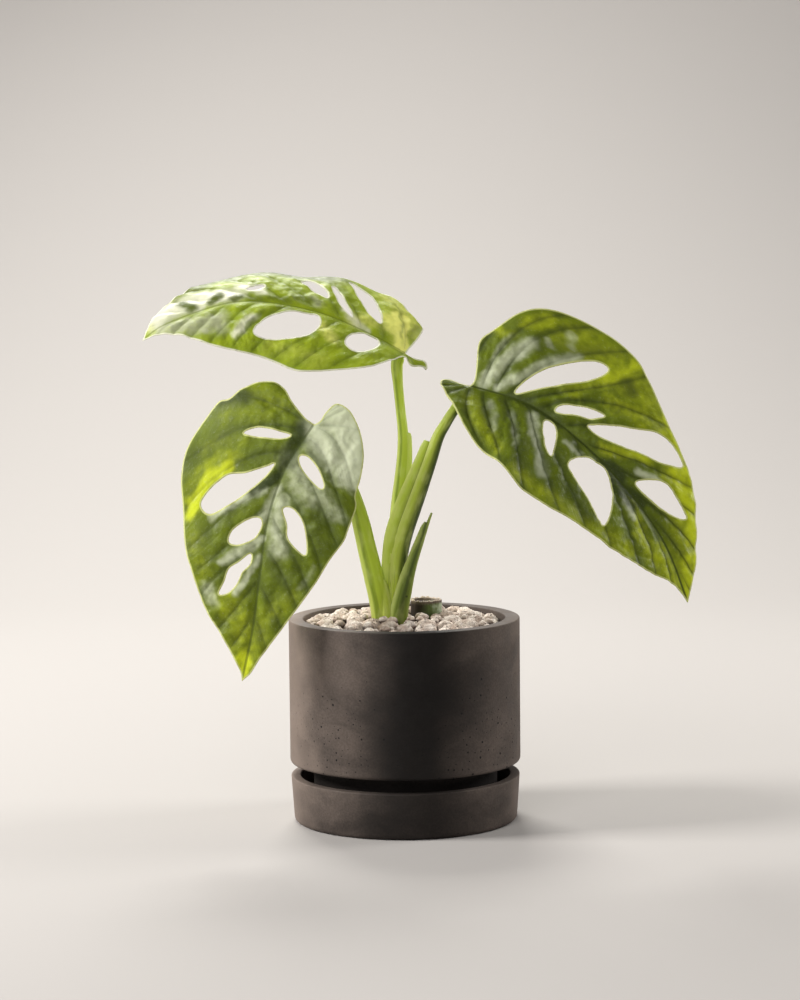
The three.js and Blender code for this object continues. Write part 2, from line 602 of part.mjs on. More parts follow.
function makeBlade(leaf, grow = 0) {
  const rib = new THREE.CatmullRomCurve3(leaf.rib.map((p) => new THREE.Vector3(...p)), false, 'catmullrom', 0.5);
  const length = rib.getLength();
  const outline = [
    ...resample(leaf.minusEdge, false, BLADE_MESH * 0.9),
    ...resample(leaf.plusEdge, false, BLADE_MESH * 0.9),
  ];
  const holes = leaf.holes.map((hole) => resample(hole, true, BLADE_MESH * 0.8));
  const { points, triangles } = meshFlat([outline, ...holes], BLADE_MESH);
  const count = points.length;
  const half = BLADE_THICKNESS / 2 + grow;
  const positions = [];
  for (const offset of [half, -half]) {
    for (const [along, across] of points) {
      const point = leafPoint(leaf, rib, length, along, across, offset);
      positions.push(point.x, point.y, point.z);
    }
  }
  const index = [];
  const edges = new Map();
  for (const corners of triangles) {
    const [a, b, c] = corners;
    const [pa, pb, pc] = [points[a], points[b], points[c]];
    const turn = (pb[0] - pa[0]) * (pc[1] - pa[1]) - (pb[1] - pa[1]) * (pc[0] - pa[0]);
    const [i, j, k] = turn > 0 ? [a, b, c] : [a, c, b];
    index.push(i, j, k, count + k, count + j, count + i);
    for (const [from, to] of [[i, j], [j, k], [k, i]]) {
      if (!edges.delete(`${to},${from}`)) edges.set(`${from},${to}`, [from, to]);
    }
  }
  for (const [from, to] of edges.values()) {
    index.push(to, from, count + from, to, count + from, count + to);
  }
  const geometry = new THREE.BufferGeometry();
  geometry.setAttribute('position', new THREE.Float32BufferAttribute(positions, 3));
  geometry.setIndex(index);
  return solidOf(geometry);
}

// Each stalk with its clasping sheath, or a slightly larger copy of it
function spearBody(grow = 0) {
  return loft(SPEAR, 10, 9, grow).add(loft(SPEAR_TIP, 8, 3, grow));
}

function leftStalkBody(grow = 0) {
  return loft(LEFT_STALK, 12, 18, grow);
}

function rightStalkBody(grow = 0) {
  return loft(RIGHT_STALK, 12, 18, grow).add(loft(RIGHT_SHEATH, 12, 12, grow));
}

function topStalkBody(grow = 0) {
  return loft(TOP_STALK, 12, 18, grow).add(loft(TOP_SHEATH, 10, 8, grow));
}

// Assembly: each piece that meets another is cut back by the larger copy of it
function makePlant() {
  const spearSpace = spearBody(GAP);
  const leftSpace = leftStalkBody(GAP);
  const rightSpace = rightStalkBody(GAP);
  const stalkSpace = spearSpace.add(leftSpace).add(rightSpace).add(topStalkBody(GAP));
  const leftStalk = leftStalkBody().subtract(spearSpace).subtract(makeBlade(LEFT_LEAF, GAP));
  const rightStalk = rightStalkBody()
    .subtract(spearSpace)
    .subtract(leftSpace)
    .subtract(makeBlade(RIGHT_LEAF, GAP));
  const topStalk = topStalkBody()
    .subtract(spearSpace)
    .subtract(leftSpace)
    .subtract(rightSpace)
    .subtract(makeBlade(TOP_LEAF, GAP));
  return {
    spear: spearBody(),
    leftStalk: largestBody(leftStalk),
    rightStalk: largestBody(rightStalk),
    topStalk: largestBody(topStalk),
    crown: largestBody(makeCrown().subtract(stalkSpace)),
    space: stalkSpace.add(makeCrown(GAP)).add(makeOldStem(GAP)),
  };
}

const plant = makePlant();
const pottedVine = new THREE.Group();
pottedVine.add(
  node('saucer', makeSaucer(), SAUCER_CONCRETE),
  node('pot', makePot(), CONCRETE),
  node('potting_mix', makePottingMix(plant.space), POTTING_MIX),
  node('pumice_topping', makePumice(plant.space), PUMICE),
  node('crown', plant.crown, STALK_GREEN),
  node('old_stem', makeOldStem(), CUT_STEM),
  node('spear', plant.spear, SPEAR_GREEN),
  node('stalk_left', plant.leftStalk, STALK_GREEN),
  node('stalk_right', plant.rightStalk, STALK_GREEN),
  node('stalk_top', plant.topStalk, STALK_GREEN),
  node('leaf_left', makeBlade(LEFT_LEAF), LEAF_GREEN),
  node('leaf_right', makeBlade(RIGHT_LEAF), LEAF_GREEN),
  node('leaf_top', makeBlade(TOP_LEAF), TOP_LEAF_GREEN),
);

export default pottedVine;
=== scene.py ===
# Potted mint swiss cheese vine: the looks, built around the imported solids.
# Shapes are worked out in millimetres and become metres when a mesh is made. The front is -Y, up is +Z.
import math
import random

import bmesh
import bpy
import numpy as np
from mathutils import Matrix, Vector, noise
from mathutils.geometry import delaunay_2d_cdt


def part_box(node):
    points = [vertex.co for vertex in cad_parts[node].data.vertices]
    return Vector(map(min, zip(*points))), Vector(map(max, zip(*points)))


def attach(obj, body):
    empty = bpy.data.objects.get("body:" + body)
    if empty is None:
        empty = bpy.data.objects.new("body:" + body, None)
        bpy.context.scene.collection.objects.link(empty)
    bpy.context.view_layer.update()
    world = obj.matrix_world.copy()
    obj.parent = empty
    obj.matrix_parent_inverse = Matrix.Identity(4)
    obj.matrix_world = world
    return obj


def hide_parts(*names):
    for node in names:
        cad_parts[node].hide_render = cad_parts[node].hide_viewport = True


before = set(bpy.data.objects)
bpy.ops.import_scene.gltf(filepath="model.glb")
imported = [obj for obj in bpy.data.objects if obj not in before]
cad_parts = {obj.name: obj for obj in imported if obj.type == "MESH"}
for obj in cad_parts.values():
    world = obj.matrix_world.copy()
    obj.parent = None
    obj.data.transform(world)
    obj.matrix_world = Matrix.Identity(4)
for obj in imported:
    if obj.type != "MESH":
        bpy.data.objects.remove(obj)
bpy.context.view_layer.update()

bl_info = {
    "name": "Potted mint swiss cheese vine",
    "version": (1, 0, 0),
    "blender": (4, 5, 0),
    "location": "3D View > Sidebar > Vine",
    "description": "Leaves, stalks, pumice, pot and saucer of a potted vine",
    "category": "Object",
}

POT_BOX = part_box("pot")
SAUCER_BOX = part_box("saucer")
MM = 0.001
DEG = math.pi / 180

# Leaves as [along, across] from the point where the stalk joins. rib is the midrib in space, face is the way
# that its upper side looks, and fold, curl and wave bend each half. Side veins are where they stand at 0, 20
# and 40 mm out from the midrib. Marks are soft strokes of each colour: half width, strength and points.
# Lime strokes are for the most part painted light that comes through a blade, mint strokes a pale mint that
# is in part a painted sheen, and deep strokes a darker green that is in part painted shade.
LEFT_LEAF = {
    "rib": [(-45.4, -26, 207.8), (-59.8, -32.7, 185.7), (-68.5, -39.3, 160.7), (-72.5, -44, 134.1),
            (-76.3, -47.2, 107.2), (-82.1, -49, 80.6)],
    "face": (-0.1, -0.95, 0.25),
    "plus": {"fold": (6, 5, 4), "curl": (22, 19, 16), "wave": (1.2, 48, 0.4)},
    "minus": {"fold": (6, 5, 4), "curl": (22, 19, 16), "wave": (1.4, 40, 1.2)},
    "lobe_bend": (18, 18),
    "lobe_fold": 0,
    "puff": 0.8,
    "pucker": 2.0,
    "vein_shade": 0.28,
    "seed": 3,
    "minus_veins": [(0, -31, -55), (0, -10, -14.3), (0, -0.4, 4.9), (2.5, 11, 26), (16.5, 27.2, 49.5),
                    (31.5, 51.5, 71.5), (43, 68, 89), (61, 80, 110), (80.5, 113, 150), (96, 140, 180),
                    (118, 170, 220)],
    "plus_veins": [(0, -31, -55), (0, -10, -12), (-1, 2.5, 21), (6, 13.5, 45), (17.5, 31, 65),
                   (34, 50.5, 103), (46.5, 74, 113), (64, 91, 140), (82, 112, 150), (98, 135, 180),
                   (118, 170, 220)],
    "minus_edge": [(-1, 0.5), (-1, -2), (-1.5, -6), (-5, -15.5), (-9, -22.5), (-9.5, -29.5), (-5, -37),
                   (2.5, -42), (10.5, -45), (14, -49.5), (20.5, -51.5), (31, -53), (43, -50), (57, -45),
                   (73, -40), (88.5, -33), (104, -25), (119, -12.5), (131, -2.5), (136.5, 0)],
    "plus_edge": [(136.5, 0), (131, 4), (121.5, 7.5), (107, 15), (90, 25), (72, 34), (60, 39.5), (48, 41),
                  (32.5, 41.5), (21.5, 38.5), (9.5, 35.5), (0, 30.5), (-9, 23), (-15, 14.5), (-17, 8),
                  (-15.5, 3.5), (-9, 2), (-4, 2), (-1, 0.5)],
    "holes": [
        [(20.5, -28), (15.5, -23), (12, -12.5), (10.5, -6.5), (15, -10.5), (19.5, -21.5)],
        [(26.5, -6), (29, -9), (35, -17), (38.5, -26), (47.5, -33.5), (54, -35.5), (56.5, -29.5), (51, -21),
         (42, -13), (33, -7.5)],
        [(54.5, -3.5), (54.5, -7), (58, -12.5), (62.5, -17), (67.5, -17.5), (68, -12), (64, -5), (58, -2.5)],
        [(72, -6), (77, -11.5), (81, -16), (87.5, -17.5), (94, -19.5), (93, -15), (88, -11), (82, -9),
         (77, -5.5)],
        [(17, 3.5), (15.5, 8), (19, 16), (25.5, 21.5), (29, 21), (26, 14), (21, 6)],
        [(47, 6.5), (45.5, 11), (51, 17.5), (60, 21), (69.5, 22), (67, 17), (61.5, 12), (54.5, 10.5)],
    ],
    # Mint: pale mint, in part painted sheen. Lime: painted light through the blade. Deep: darker green, in
    # part painted shade.
    "marks": {
        "mint": [(10, 1.0, [(-14, 5), (-6, 19), (9, 30)]), (8, 0.8, [(1, 3.6), (9, 19.6)]),
                 (7, 0.52, [(21.3, 1), (37, 18.5)]), (5, 0.5, [(29.7, 20.8), (42, 32.5)]),
                 (4.5, 0.62, [(42, 4), (56, 5), (70, 8)]), (3.2, 0.6, [(36.6, -0.7), (52.3, -3.3)]),
                 (2.2, 0.7, [(38.9, -7.3), (47.7, -16.2), (57.3, -28)]),
                 (2.2, 0.7, [(64.6, -1), (70.7, -11.3), (77.6, -19.6)]),
                 (1.8, 0.7, [(72.3, -2.1), (80.3, -5), (92.2, -10.7)]),
                 (3, 0.5, [(91, -25.6), (98.7, -21.3)]), (1.6, 0.3, [(87, 21.3), (76.5, 28)])],
        "lime": [(3.6, 1.0, [(36, -27), (42, -34), (50, -38.5), (57, -39.5)]),
                 (4.5, 0.35, [(30, -27), (38, -38), (54, -43)]), (9, 0.22, [(-2, -22), (-1, -34)]),
                 (6, 0.2, [(7.5, -24), (16, -41)]), (4, 0.2, [(22, -24), (30, -42.5)]),
                 (6, 0.25, [(68, -37), (86, -28)]), (4, 0.95, [(124, -1), (134, -0.2)]),
                 (9, 0.35, [(97, -14), (116, -4), (126, 0)]),
                 (6, 0.25, [(92, 17), (102, 6.7), (114, 5)])],
        "deep": [(4.5, 0.8, [(6.4, -3.6), (24.7, -1)]), (2.6, 0.9, [(28.6, -3), (42.8, -12.5)]),
                 (5, 0.65, [(5.6, -38), (10.6, -48)]), (1.8, 0.5, [(11.3, 8.4), (21.7, 21.3)]),
                 (1.4, 0.3, [(-3.2, 17), (7.5, 31)]), (4, 0.45, [(39.7, 21.3), (68.4, 31.6)]),
                 (5, 0.25, [(80, 6), (90, 13)])],
    },
}

RIGHT_LEAF = {
    "rib": [(34.8, -14, 226.6), (65.6, -19.6, 216.4), (91.7, -25.3, 196.9), (114.2, -28.6, 173),
            (132.8, -28.8, 145.7), (144.9, -25, 115.2)],
    "face": (0.3, -0.8, 0.42),
    "plus": {"fold": (18, 11, 4), "curl": (6, 8, 10), "wave": (1, 52, 0)},
    "minus": {"fold": (18, 11, 4), "curl": (6, 8, 10), "wave": (1.2, 44, 2)},
    "lobe_bend": (10, 10),
    "lobe_fold": 0,
    "puff": 1.1,
    "pucker": 2.4,
    "vein_shade": 0.62,
    "seed": 11,
    "minus_veins": [(0, -40, -70), (0, -14, -18), (0, 3.5, 19.5), (6, 14, 31), (16.5, 29.5, 49),
                    (29.5, 46, 75.5), (41, 59, 110), (56, 90, 140), (68.5, 126, 200), (84, 165, 240),
                    (104, 240, 330), (130, 280, 380)],
    "plus_veins": [(0, -18, -30), (0, -1.5, 5), (5.5, 8, 18), (11.5, 16, 25.5), (18.5, 27, 39),
                   (26, 44, 58), (35, 51, 84), (49, 73, 116), (62, 97, 131), (75, 118, 160),
                   (88, 153, 205), (105, 205, 300), (130, 270, 400)],
    "minus_edge": [(0, 0), (-5, -0.5), (-11, 0), (-14.5, -2), (-14, -6), (-9, -12), (-3, -18.5), (7, -31),
                   (19, -40.5), (38.5, -45.5), (55.5, -48), (67, -46.5), (80, -44), (101.5, -35),
                   (118.5, -29), (138, -18), (151.5, -6), (160, -1.5), (166, 0)],
    "plus_edge": [(166, 0), (162, 2.5), (151, 10.5), (136, 19), (124, 27), (111, 34), (96.5, 39.5),
                  (81.5, 45), (70, 50), (59, 54.5), (47.5, 56.5), (36.5, 55.5), (23.5, 51.5), (14, 45),
                  (5.5, 35.5), (-1.5, 27.5), (-3, 22), (-1.5, 15), (1, 5.5), (1, 2), (0, 0)],
    "holes": [
        [(23, 4), (27.5, 5), (39.5, 17.5), (49, 30.5), (51.5, 40), (45.5, 39.5), (37.5, 30), (29, 17)],
        [(44.5, 4.5), (46, 9), (55, 15.5), (64.5, 19), (61, 13.5), (53.5, 9), (48, 5)],
        [(62, 9), (65.5, 13), (79, 25.5), (91.5, 35.5), (107, 33.5), (101, 25.5), (89, 18.5), (72, 9.5)],
        [(99, 5.5), (103, 14), (110, 19), (126.5, 18), (124.5, 13), (115, 8)],
        [(44.5, -8), (44.5, -3), (50, -4), (56, -13.5), (58.5, -21.5), (51.5, -17.5)],
        [(68.5, -18), (69.5, -9), (76.5, -3.5), (84, -2.5), (94.5, -9.5), (104, -24.5), (97.5, -26),
         (84, -22.5)],
    ],
    # Mint: pale mint, in part painted highlights along the puckers. Lime: in part painted light through the
    # blade. Deep: darker green, in part painted shade on the lower half.
    "marks": {
        "mint": [(3.4, 0.75, [(6, 3.6), (13.7, 16.8), (22.3, 30.2)]),
                 (2.2, 0.5, [(6.9, 11.3), (7.8, 21.9), (12.8, 31.6)]),
                 (2.4, 0.7, [(13.2, 3.6), (24.5, 13), (31.8, 24.5), (38.6, 36.8)]),
                 (2, 0.8, [(-4.4, 27.9), (1.5, 38.2)]), (1.7, 0.5, [(27.3, 36.8), (29.5, 32.8)]),
                 (1.7, 0.45, [(32.2, 44), (34.9, 39.4)]),
                 (3.2, 0.6, [(36.3, -5.6), (46.2, -19.3), (60.7, -30.8)]),
                 (2.2, 0.45, [(25.4, -10.5), (38.1, -29.6)]),
                 (2.2, 0.4, [(12.8, -7.6), (21.4, -26.8)]), (2.2, 0.5, [(59.3, -8.4), (67.5, -7.3)]),
                 (1.8, 0.8, [(94.6, 9.9), (107.2, 17)]), (1.6, 0.8, [(98.7, -5.3), (111.8, -9.6)])],
        "lime": [(3.5, 0.5, [(17.3, 40), (25, 46.5)]), (3.5, 0.45, [(4, 33.5), (12, 31.6)]),
                 (5, 0.4, [(43.5, 19), (52.6, 34)]), (5, 0.4, [(61, 27), (82, 34)]),
                 (5, 0.4, [(50, -42), (66, -41.4), (93, -36), (124, -23)]),
                 (4.5, 0.35, [(3, -9), (14.6, -27), (30, -38)]), (4, 0.5, [(104, -4), (129, -11.6)]),
                 (7, 0.5, [(136, -8), (151, -3), (160, 0)]), (12, 0.4, [(38, 44), (70, 44), (96, 36)]),
                 (10, 0.45, [(110, 24), (150, 6)]),
                 (2.4, 0.85, [(84, 43), (97, 38.5), (124, 26), (150, 10), (163, 1.5)]),
                 (4, 0.6, [(90, 36), (112, 32)]), (4.5, 0.65, [(53.5, 34.2), (59.3, 51.7)]),
                 (4, 0.45, [(64.8, 29.4), (78.8, 34.2)]), (3.2, 0.6, [(75.6, 6.2), (94.6, 19.9)]),
                 (4.5, 0.9, [(109, 27.4), (125.3, 21.6), (138, 14)]),
                 (4, 0.75, [(144.7, 7.3), (159.7, 2.7)]), (2.5, 0.5, [(119, -13.3), (134.4, -13.3)])],
        "deep": [(12, 0.32, [(8, -10), (45, -25), (76, -32)]), (9, 0.3, [(60, 0), (100, 6), (128, 2)]),
                 (4, 0.9, [(81.5, 0.1), (108.6, 0.4)]), (3, 0.9, [(81, -3.9), (106.8, -5.6)]),
                 (4, 0.7, [(20.9, 0), (49.4, 0)]), (3.2, 0.6, [(60.2, 42), (66.6, 39.1)]),
                 (4, 0.5, [(19.6, -3.3), (49.9, -38.5)]), (5, 0.5, [(70.6, -28.2), (96.8, -30.5)]),
                 (4, 0.4, [(27.7, 30.2), (44, 46.3)])],
    },
}

TOP_VEINS = [(0, -26, -46), (0, -5, -4.7), (0, 6, 17.7), (12, 21, 36), (24, 36, 54), (35, 50, 71),
             (48, 66.5, 91), (62, 84, 112), (77, 103, 135), (92, 122, 157.5), (108, 142, 182),
             (124, 162, 206)]
TOP_LEAF = {
    "rib": [(2.2, 4, 242.2), (-17, 2.2, 253), (-46, -0.2, 265), (-83, -3.4, 270), (-118, -8.4, 260),
            (-132.6, -12, 251)],
    "face": (0, -0.52, 0.86),
    "plus": {"fold": (25, -2, 12), "curl": (24, 32, 40), "wave": (0.6, 50, 1)},
    "minus": {"fold": (4, 9.5, -1), "curl": (4, 45, 42), "wave": (1, 36, 0.4)},
    "lobe_bend": (20, -70),
    "lobe_fold": -60,
    "puff": 0.75,
    "pucker": 1.8,
    "vein_shade": 0.22,
    "seed": 23,
    "minus_veins": TOP_VEINS,
    "plus_veins": TOP_VEINS,
    "minus_edge": [(0, 0), (-0.5, -3.7), (-2, -10), (-3.7, -19.4), (-3.8, -25), (-2, -27), (6.6, -31.6),
                   (11.5, -36.5), (18, -41.5), (32, -45), (46, -46), (60, -45.5), (74, -44), (88, -41),
                   (100, -36), (111, -29.5), (121, -22), (130, -14), (137, -7), (145.5, 0)],
    "plus_edge": [(145.5, 0), (138, 5), (129, 12), (122, 18.5), (115.5, 24.5), (108, 29.5), (97, 34),
                  (82, 36.5), (73, 38.5), (66, 40.5), (60, 42.5), (53, 43.5), (41, 41.5), (26, 36), (16, 31),
                  (10, 24.5), (5, 16), (1, 9.5), (-3, 6.6), (-6, 5), (-8.6, 4.2), (-10.4, 4.6), (-11.4, 6),
                  (-12.2, 4.2), (-11.6, 2), (-9.6, 0.3), (-6, 0.3), (0, 0)],
    "holes": [
        [(50, 4), (48.5, 12), (54, 20), (62, 24), (72, 26), (82, 25), (84, 21), (76, 12), (66, 6), (58, 4)],
        [(18, 2.5), (15.5, 7), (17, 13), (22, 19.5), (27.5, 22), (32, 18), (31, 10), (25, 4)],
        [(38.5, -40), (33, -37.5), (26, -32), (21.5, -24.3), (18, -14), (19, -11), (22, -11.7), (26.5, -16),
         (31, -22.5), (35, -30)],
        [(33, -5.5), (36, -7), (40.5, -12), (43.5, -17.5), (46, -24.5), (45, -27), (42, -22), (38.5, -15.5),
         (34.5, -9.5)],
        [(47.5, -13.5), (52, -15.5), (57, -20), (60.5, -26), (58, -29), (53.5, -26.5), (50, -22),
         (47.5, -17.5)],
        [(78.5, -13.5), (80.5, -10.5), (83.5, -8.6), (87, -9), (86, -11.4), (83, -13.6), (80, -15)],
    ],
    # Mint: near-white mint, in part painted glare. Lime: in part painted light through the blade.
    "marks": {
        "mint": [(6.5, 1.0, [(134, -6), (121, -10), (109, -9), (94, -7)]),
                 (3.5, 0.8, [(129.5, -4.7), (111.3, -2.4)]), (3.5, 0.8, [(90, -13.3), (80, -8)]),
                 (7, 0.6, [(134, 2), (122, 9), (106, 14)]),
                 (3, 0.75, [(98, 24), (91, 19), (84, 12.5)]), (2.6, 0.6, [(118.6, 4.7), (114.1, 17)]),
                 (3, 0.6, [(37.2, -7), (24.2, -1.3)]), (3, 0.45, [(54, -9.3), (51, -5.3)])],
        "lime": [(3, 0.6, [(139, -5), (127, -16), (112, -26)]),
                 (8, 0.5, [(15.3, -37.9), (2.7, -17.9), (10, -24)]),
                 (5, 0.8, [(4.7, -3), (14.5, -16.8)]), (2.6, 1.0, [(12.8, -25), (9, -12), (6, -2)]),
                 (2, 1.0, [(7.6, -25), (4.3, -13), (2.3, -2)]), (6, 0.25, [(73.6, 31), (42.8, 35)]),
                 (4, 0.6, [(46.5, 10.5), (39, 18.5)]), (5, 0.5, [(10, -22), (30, -4)])],
        "deep": [(3.6, 1.0, [(118.6, -9), (116.6, -3.5)]), (3.2, 1.0, [(104.4, -4.4), (100.4, -8.7)]),
                 (2.6, 0.9, [(94.7, -2.1), (90.6, -3.6)]), (3.2, 0.6, [(83.3, -2.4), (67.9, -3.3)]),
                 (3.2, 0.6, [(63.1, -6.4), (50.5, -6.7)]), (1.8, 0.6, [(79.3, 8), (88.2, 21.3)]),
                 (2, 0.5, [(59.8, 2.7), (70, 4)]), (3, 0.4, [(34.3, 20.8), (18.9, 22)]),
                 (9, 0.45, [(130, 4), (108, 15)]), (2.5, 0.5, [(0.7, -23), (0.3, -12)]),
                 (1.2, 0.35, [(10.5, -30), (6.5, -10)]), (3, 0.45, [(12, 5), (3.5, 4)]),
                 (9, 0.9, [(120, -24), (97, -33), (72, -38), (48, -40)])],
    },
}

# Stalks and sheaths as stations from the crown up: x, y, z, half width, half depth
LEFT_STALK = [(-10.6, -9.8, 101.7, 5.6, 4.2), (-12.8, -12.2, 116.4, 5.3, 3.6), (-15.7, -14, 129.6, 5.1, 3.3),
              (-18.9, -15.2, 143.7, 4.8, 3.1), (-21.8, -16.8, 157.3, 4.5, 3), (-25, -18.4, 170, 3.7, 2.8),
              (-30, -20.2, 183.4, 3, 2.7), (-37, -22, 197, 2.6, 2.6), (-43.6, -22.6, 204.6, 2.5, 2.4),
              (-46, -24.6, 206.2, 1.8, 1.8)]
RIGHT_STALK = [(-4.6, -10.6, 101.7, 4.3, 3.9), (-3.6, -11.8, 124, 4.4, 3.7), (-2.6, -12.6, 137.1, 4.4, 3.5),
               (0.2, -13, 150, 4.4, 3.4), (4.8, -13.2, 162.9, 4.2, 3.2), (9.5, -13.3, 175.7, 3.9, 3),
               (14.1, -13.3, 188.5, 3.5, 2.9), (18, -13.2, 199.8, 3.1, 2.7), (21.7, -13, 206.4, 2.8, 2.5),
               (26.5, -12.6, 213.9, 2.6, 2.4), (31.2, -11, 220.2, 2.4, 2.3), (33.8, -11.4, 223.6, 2.1, 2),
               (35, -12.6, 225.2, 1.6, 1.5)]
RIGHT_SHEATH = [(-7.2, -10.8, 101.7, 5.2, 2.8), (-6, -11.6, 124, 5.6, 2.4), (-5.6, -12.2, 137.1, 5.7, 2.1),
                (-4.2, -12.6, 150, 5.4, 1.9), (-0.2, -12.8, 162.9, 5.1, 1.7), (5, -12.8, 175.7, 4.7, 1.6),
                (10.2, -12.8, 188.5, 3.9, 1.4), (12.2, -12.8, 194.4, 3.4, 1.2), (13.6, -12.8, 198, 2.6, 0.9)]
TOP_STALK = [(-6.6, -7.6, 101.7, 4.4, 4), (-5.8, -6.6, 120.9, 4.1, 3.6), (-5, -5.2, 136.3, 3.8, 3.3),
             (-4, -3.8, 151.6, 3.7, 3.1), (-2.6, -2.4, 167, 3.4, 3), (-1.3, -1.2, 177.3, 3.2, 2.9),
             (0, -0.2, 190.1, 2.9, 2.7), (0.2, 1, 202, 2.7, 2.6), (-0.8, 2.6, 212.7, 2.5, 2.5),
             (-2, 4, 226.1, 2.6, 2.5), (-2.6, 4.6, 236, 3.1, 2.9), (-1.4, 4.6, 240.2, 3, 2.6),
             (0, 4.4, 241.8, 2, 1.8)]
TOP_SHEATH = [(-2, -4.6, 150, 3.4, 1.2), (0.6, -2.6, 170, 3.4, 1.2), (2, -1, 188, 2.9, 1.2),
              (2.7, 0.4, 198.5, 2.1, 1.1), (2.9, 0.8, 201.6, 1.3, 0.9)]
LEFT_SHEATH = [(-8.2, -12.8, 101.7, 3.8, 2.8), (-8.6, -13.4, 110, 3.4, 2.4), (-9.4, -13.8, 118, 2.8, 2),
               (-10.3, -14.2, 124, 2, 1.4), (-10.9, -14.4, 127, 1.2, 0.8)]
SPEAR = [(-3.6, -13.4, 101.7, 4.9, 3.4), (-2.4, -14.4, 112, 4.7, 3.2), (-0.3, -15.4, 121.1, 4.3, 2.9),
         (2, -16.2, 129.9, 3.6, 2.6), (5, -17, 138.6, 2.8, 2.2), (8.4, -17.4, 147.9, 2.3, 1.9),
         (10.6, -17.6, 154.2, 1.7, 1.4), (11.6, -17.7, 157, 0.9, 0.8)]
SPEAR_TIP = [(10.4, -17.5, 151, 1.3, 1.1), (12.2, -17.5, 155.5, 0.9, 0.8), (14.6, -17.5, 161.8, 0.5, 0.5)]
OLD_STEM = {"x": 11.6, "y": 4, "radius": 8.1, "bottom": 74, "top": 114.4, "dish": 1.3}
MIX_TOP = 97

# Side veins are given at steps this far out from the midrib. A blade's curl is spread over its half width,
# and the bend of its lobes over their length.
VEIN_STEP = 20
HALF_WIDTH = 45
LOBE_LENGTH = 25

# How finely curves and stalks are drawn, and how far in from each edge of a blade its close rows stand
CURVE_STEPS = 60
RIB_STEPS = 400
STALK_STEPS = 90
STALK_SIDES = 40
EDGE_ROWS = (0.35, 0.9)
FAR = 1e9

# Fine ribs that run up a stalk
RIBS = 9
RIB_DEPTH = 0.022


# Curves and meshes
def catmull(points, samples):
    """Points at even steps along a smooth open curve through the given ones."""
    given = np.asarray(points, float)
    padded = np.vstack([2 * given[0] - given[1], given, 2 * given[-1] - given[-2]])
    place = np.linspace(0, len(given) - 1, samples)
    step = np.minimum(place.astype(int), len(given) - 2)
    t = (place - step)[:, None]
    a, b, c, d = (padded[step + k] for k in range(4))
    bend = 2 * a - 5 * b + 4 * c - d
    twist = 3 * b - a - 3 * c + d
    return 0.5 * (2 * b + (c - a) * t + bend * t**2 + twist * t**3)


def lengths_along(points):
    """How far along a row of points each of them is."""
    steps = np.linalg.norm(np.diff(points, axis=0), axis=1)
    return np.concatenate([[0], np.cumsum(steps)])


def evenly(points, spacing, closed=False):
    """Points a set distance apart on the smooth curve through the given ones, without its last point."""
    given = list(points)
    if closed:
        given = given[-2:] + given + given[:3]
    curve = catmull(given, CURVE_STEPS * (len(given) - 1) + 1)
    if closed:
        curve = curve[2 * CURVE_STEPS:-2 * CURVE_STEPS]
    run = lengths_along(curve)
    count = max(8, round(run[-1] / spacing))
    at = np.linspace(0, run[-1], count + 1)[:-1]
    return np.column_stack([np.interp(at, run, curve[:, k]) for k in range(curve.shape[1])])


def smooth(low, high, value):
    """Goes softly from 0 at low to 1 at high."""
    t = np.clip((value - low) / (high - low), 0, 1)
    return t * t * (3 - 2 * t)


def rough(flat, scale, layer):
    """Smooth noise at flat points. Each layer gives another pattern."""
    return np.array([noise.noise(Vector((x * scale, y * scale, layer))) for x, y in flat])


def add_mesh(name, points, faces, material):
    """An object in the scene, from points in millimetres."""
    mesh = bpy.data.meshes.new(name)
    mesh.from_pydata((np.asarray(points, float) * MM).tolist(), [], faces)
    mesh.materials.append(material)
    mesh.shade_smooth()
    piece = bpy.data.objects.new(name, mesh)
    bpy.context.scene.collection.objects.link(piece)
    return piece


def points_of(piece):
    """The points of an object, in millimetres."""
    points = np.empty(len(piece.data.vertices) * 3, np.float32)
    piece.data.vertices.foreach_get("co", points)
    return points.reshape(-1, 3) / MM


def store(piece, name, values):
    """Keeps one number or one vector for each vertex, for the material to read."""
    values = np.asarray(values, np.float32)
    if values.ndim == 1:
        attribute = piece.data.attributes.new(name, "FLOAT", "POINT")
        attribute.data.foreach_set("value", values)
    else:
        attribute = piece.data.attributes.new(name, "FLOAT_VECTOR", "POINT")
        attribute.data.foreach_set("vector", values.ravel())


def hand_in(piece, slot, *nodes):
    """Puts a piece in the place of its nodes, on the only body."""
    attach(piece, "root")
    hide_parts(*nodes)


def turned(profile, sides):
    """Points and faces of a body of revolution whose profile closes on itself or on the axis."""
    angles = np.linspace(0, 2 * np.pi, sides, endpoint=False)
    points = []
    rings = []
    for radius, height in profile:
        start = len(points)
        if radius < 1e-6:
            points.append((0, 0, height))
            rings.append([start] * sides)
            continue
        points += [(radius * math.cos(a), radius * math.sin(a), height) for a in angles]
        rings.append(list(range(start, start + sides)))
    if profile[0][0] > 0:
        rings.append(rings[0])
    faces = []
    for low, high in zip(rings, rings[1:]):
        for k in range(sides):
            j = (k + 1) % sides
            corners = dict.fromkeys((low[k], low[j], high[j], high[k]))
            faces.append(tuple(corners))
    return points, faces


def rounded(corners, steps=5):
    """A profile whose corners, given as radius, height and size of rounding, are replaced with arcs."""
    profile = []
    count = len(corners)
    closed = corners[0][0] > 0
    for i, (radius, height, size) in enumerate(corners):
        here = np.array((radius, height), float)
        if size == 0 or (not closed and i in (0, count - 1)):
            profile.append(tuple(here))
            continue
        before = np.array(corners[i - 1][:2], float) - here
        after = np.array(corners[(i + 1) % count][:2], float) - here
        start = here + size * before / np.linalg.norm(before)
        end = here + size * after / np.linalg.norm(after)
        for t in np.linspace(0, 1, steps + 1):
            profile.append(tuple((1 - t) ** 2 * start + 2 * t * (1 - t) * here + t * t * end))
    return profile


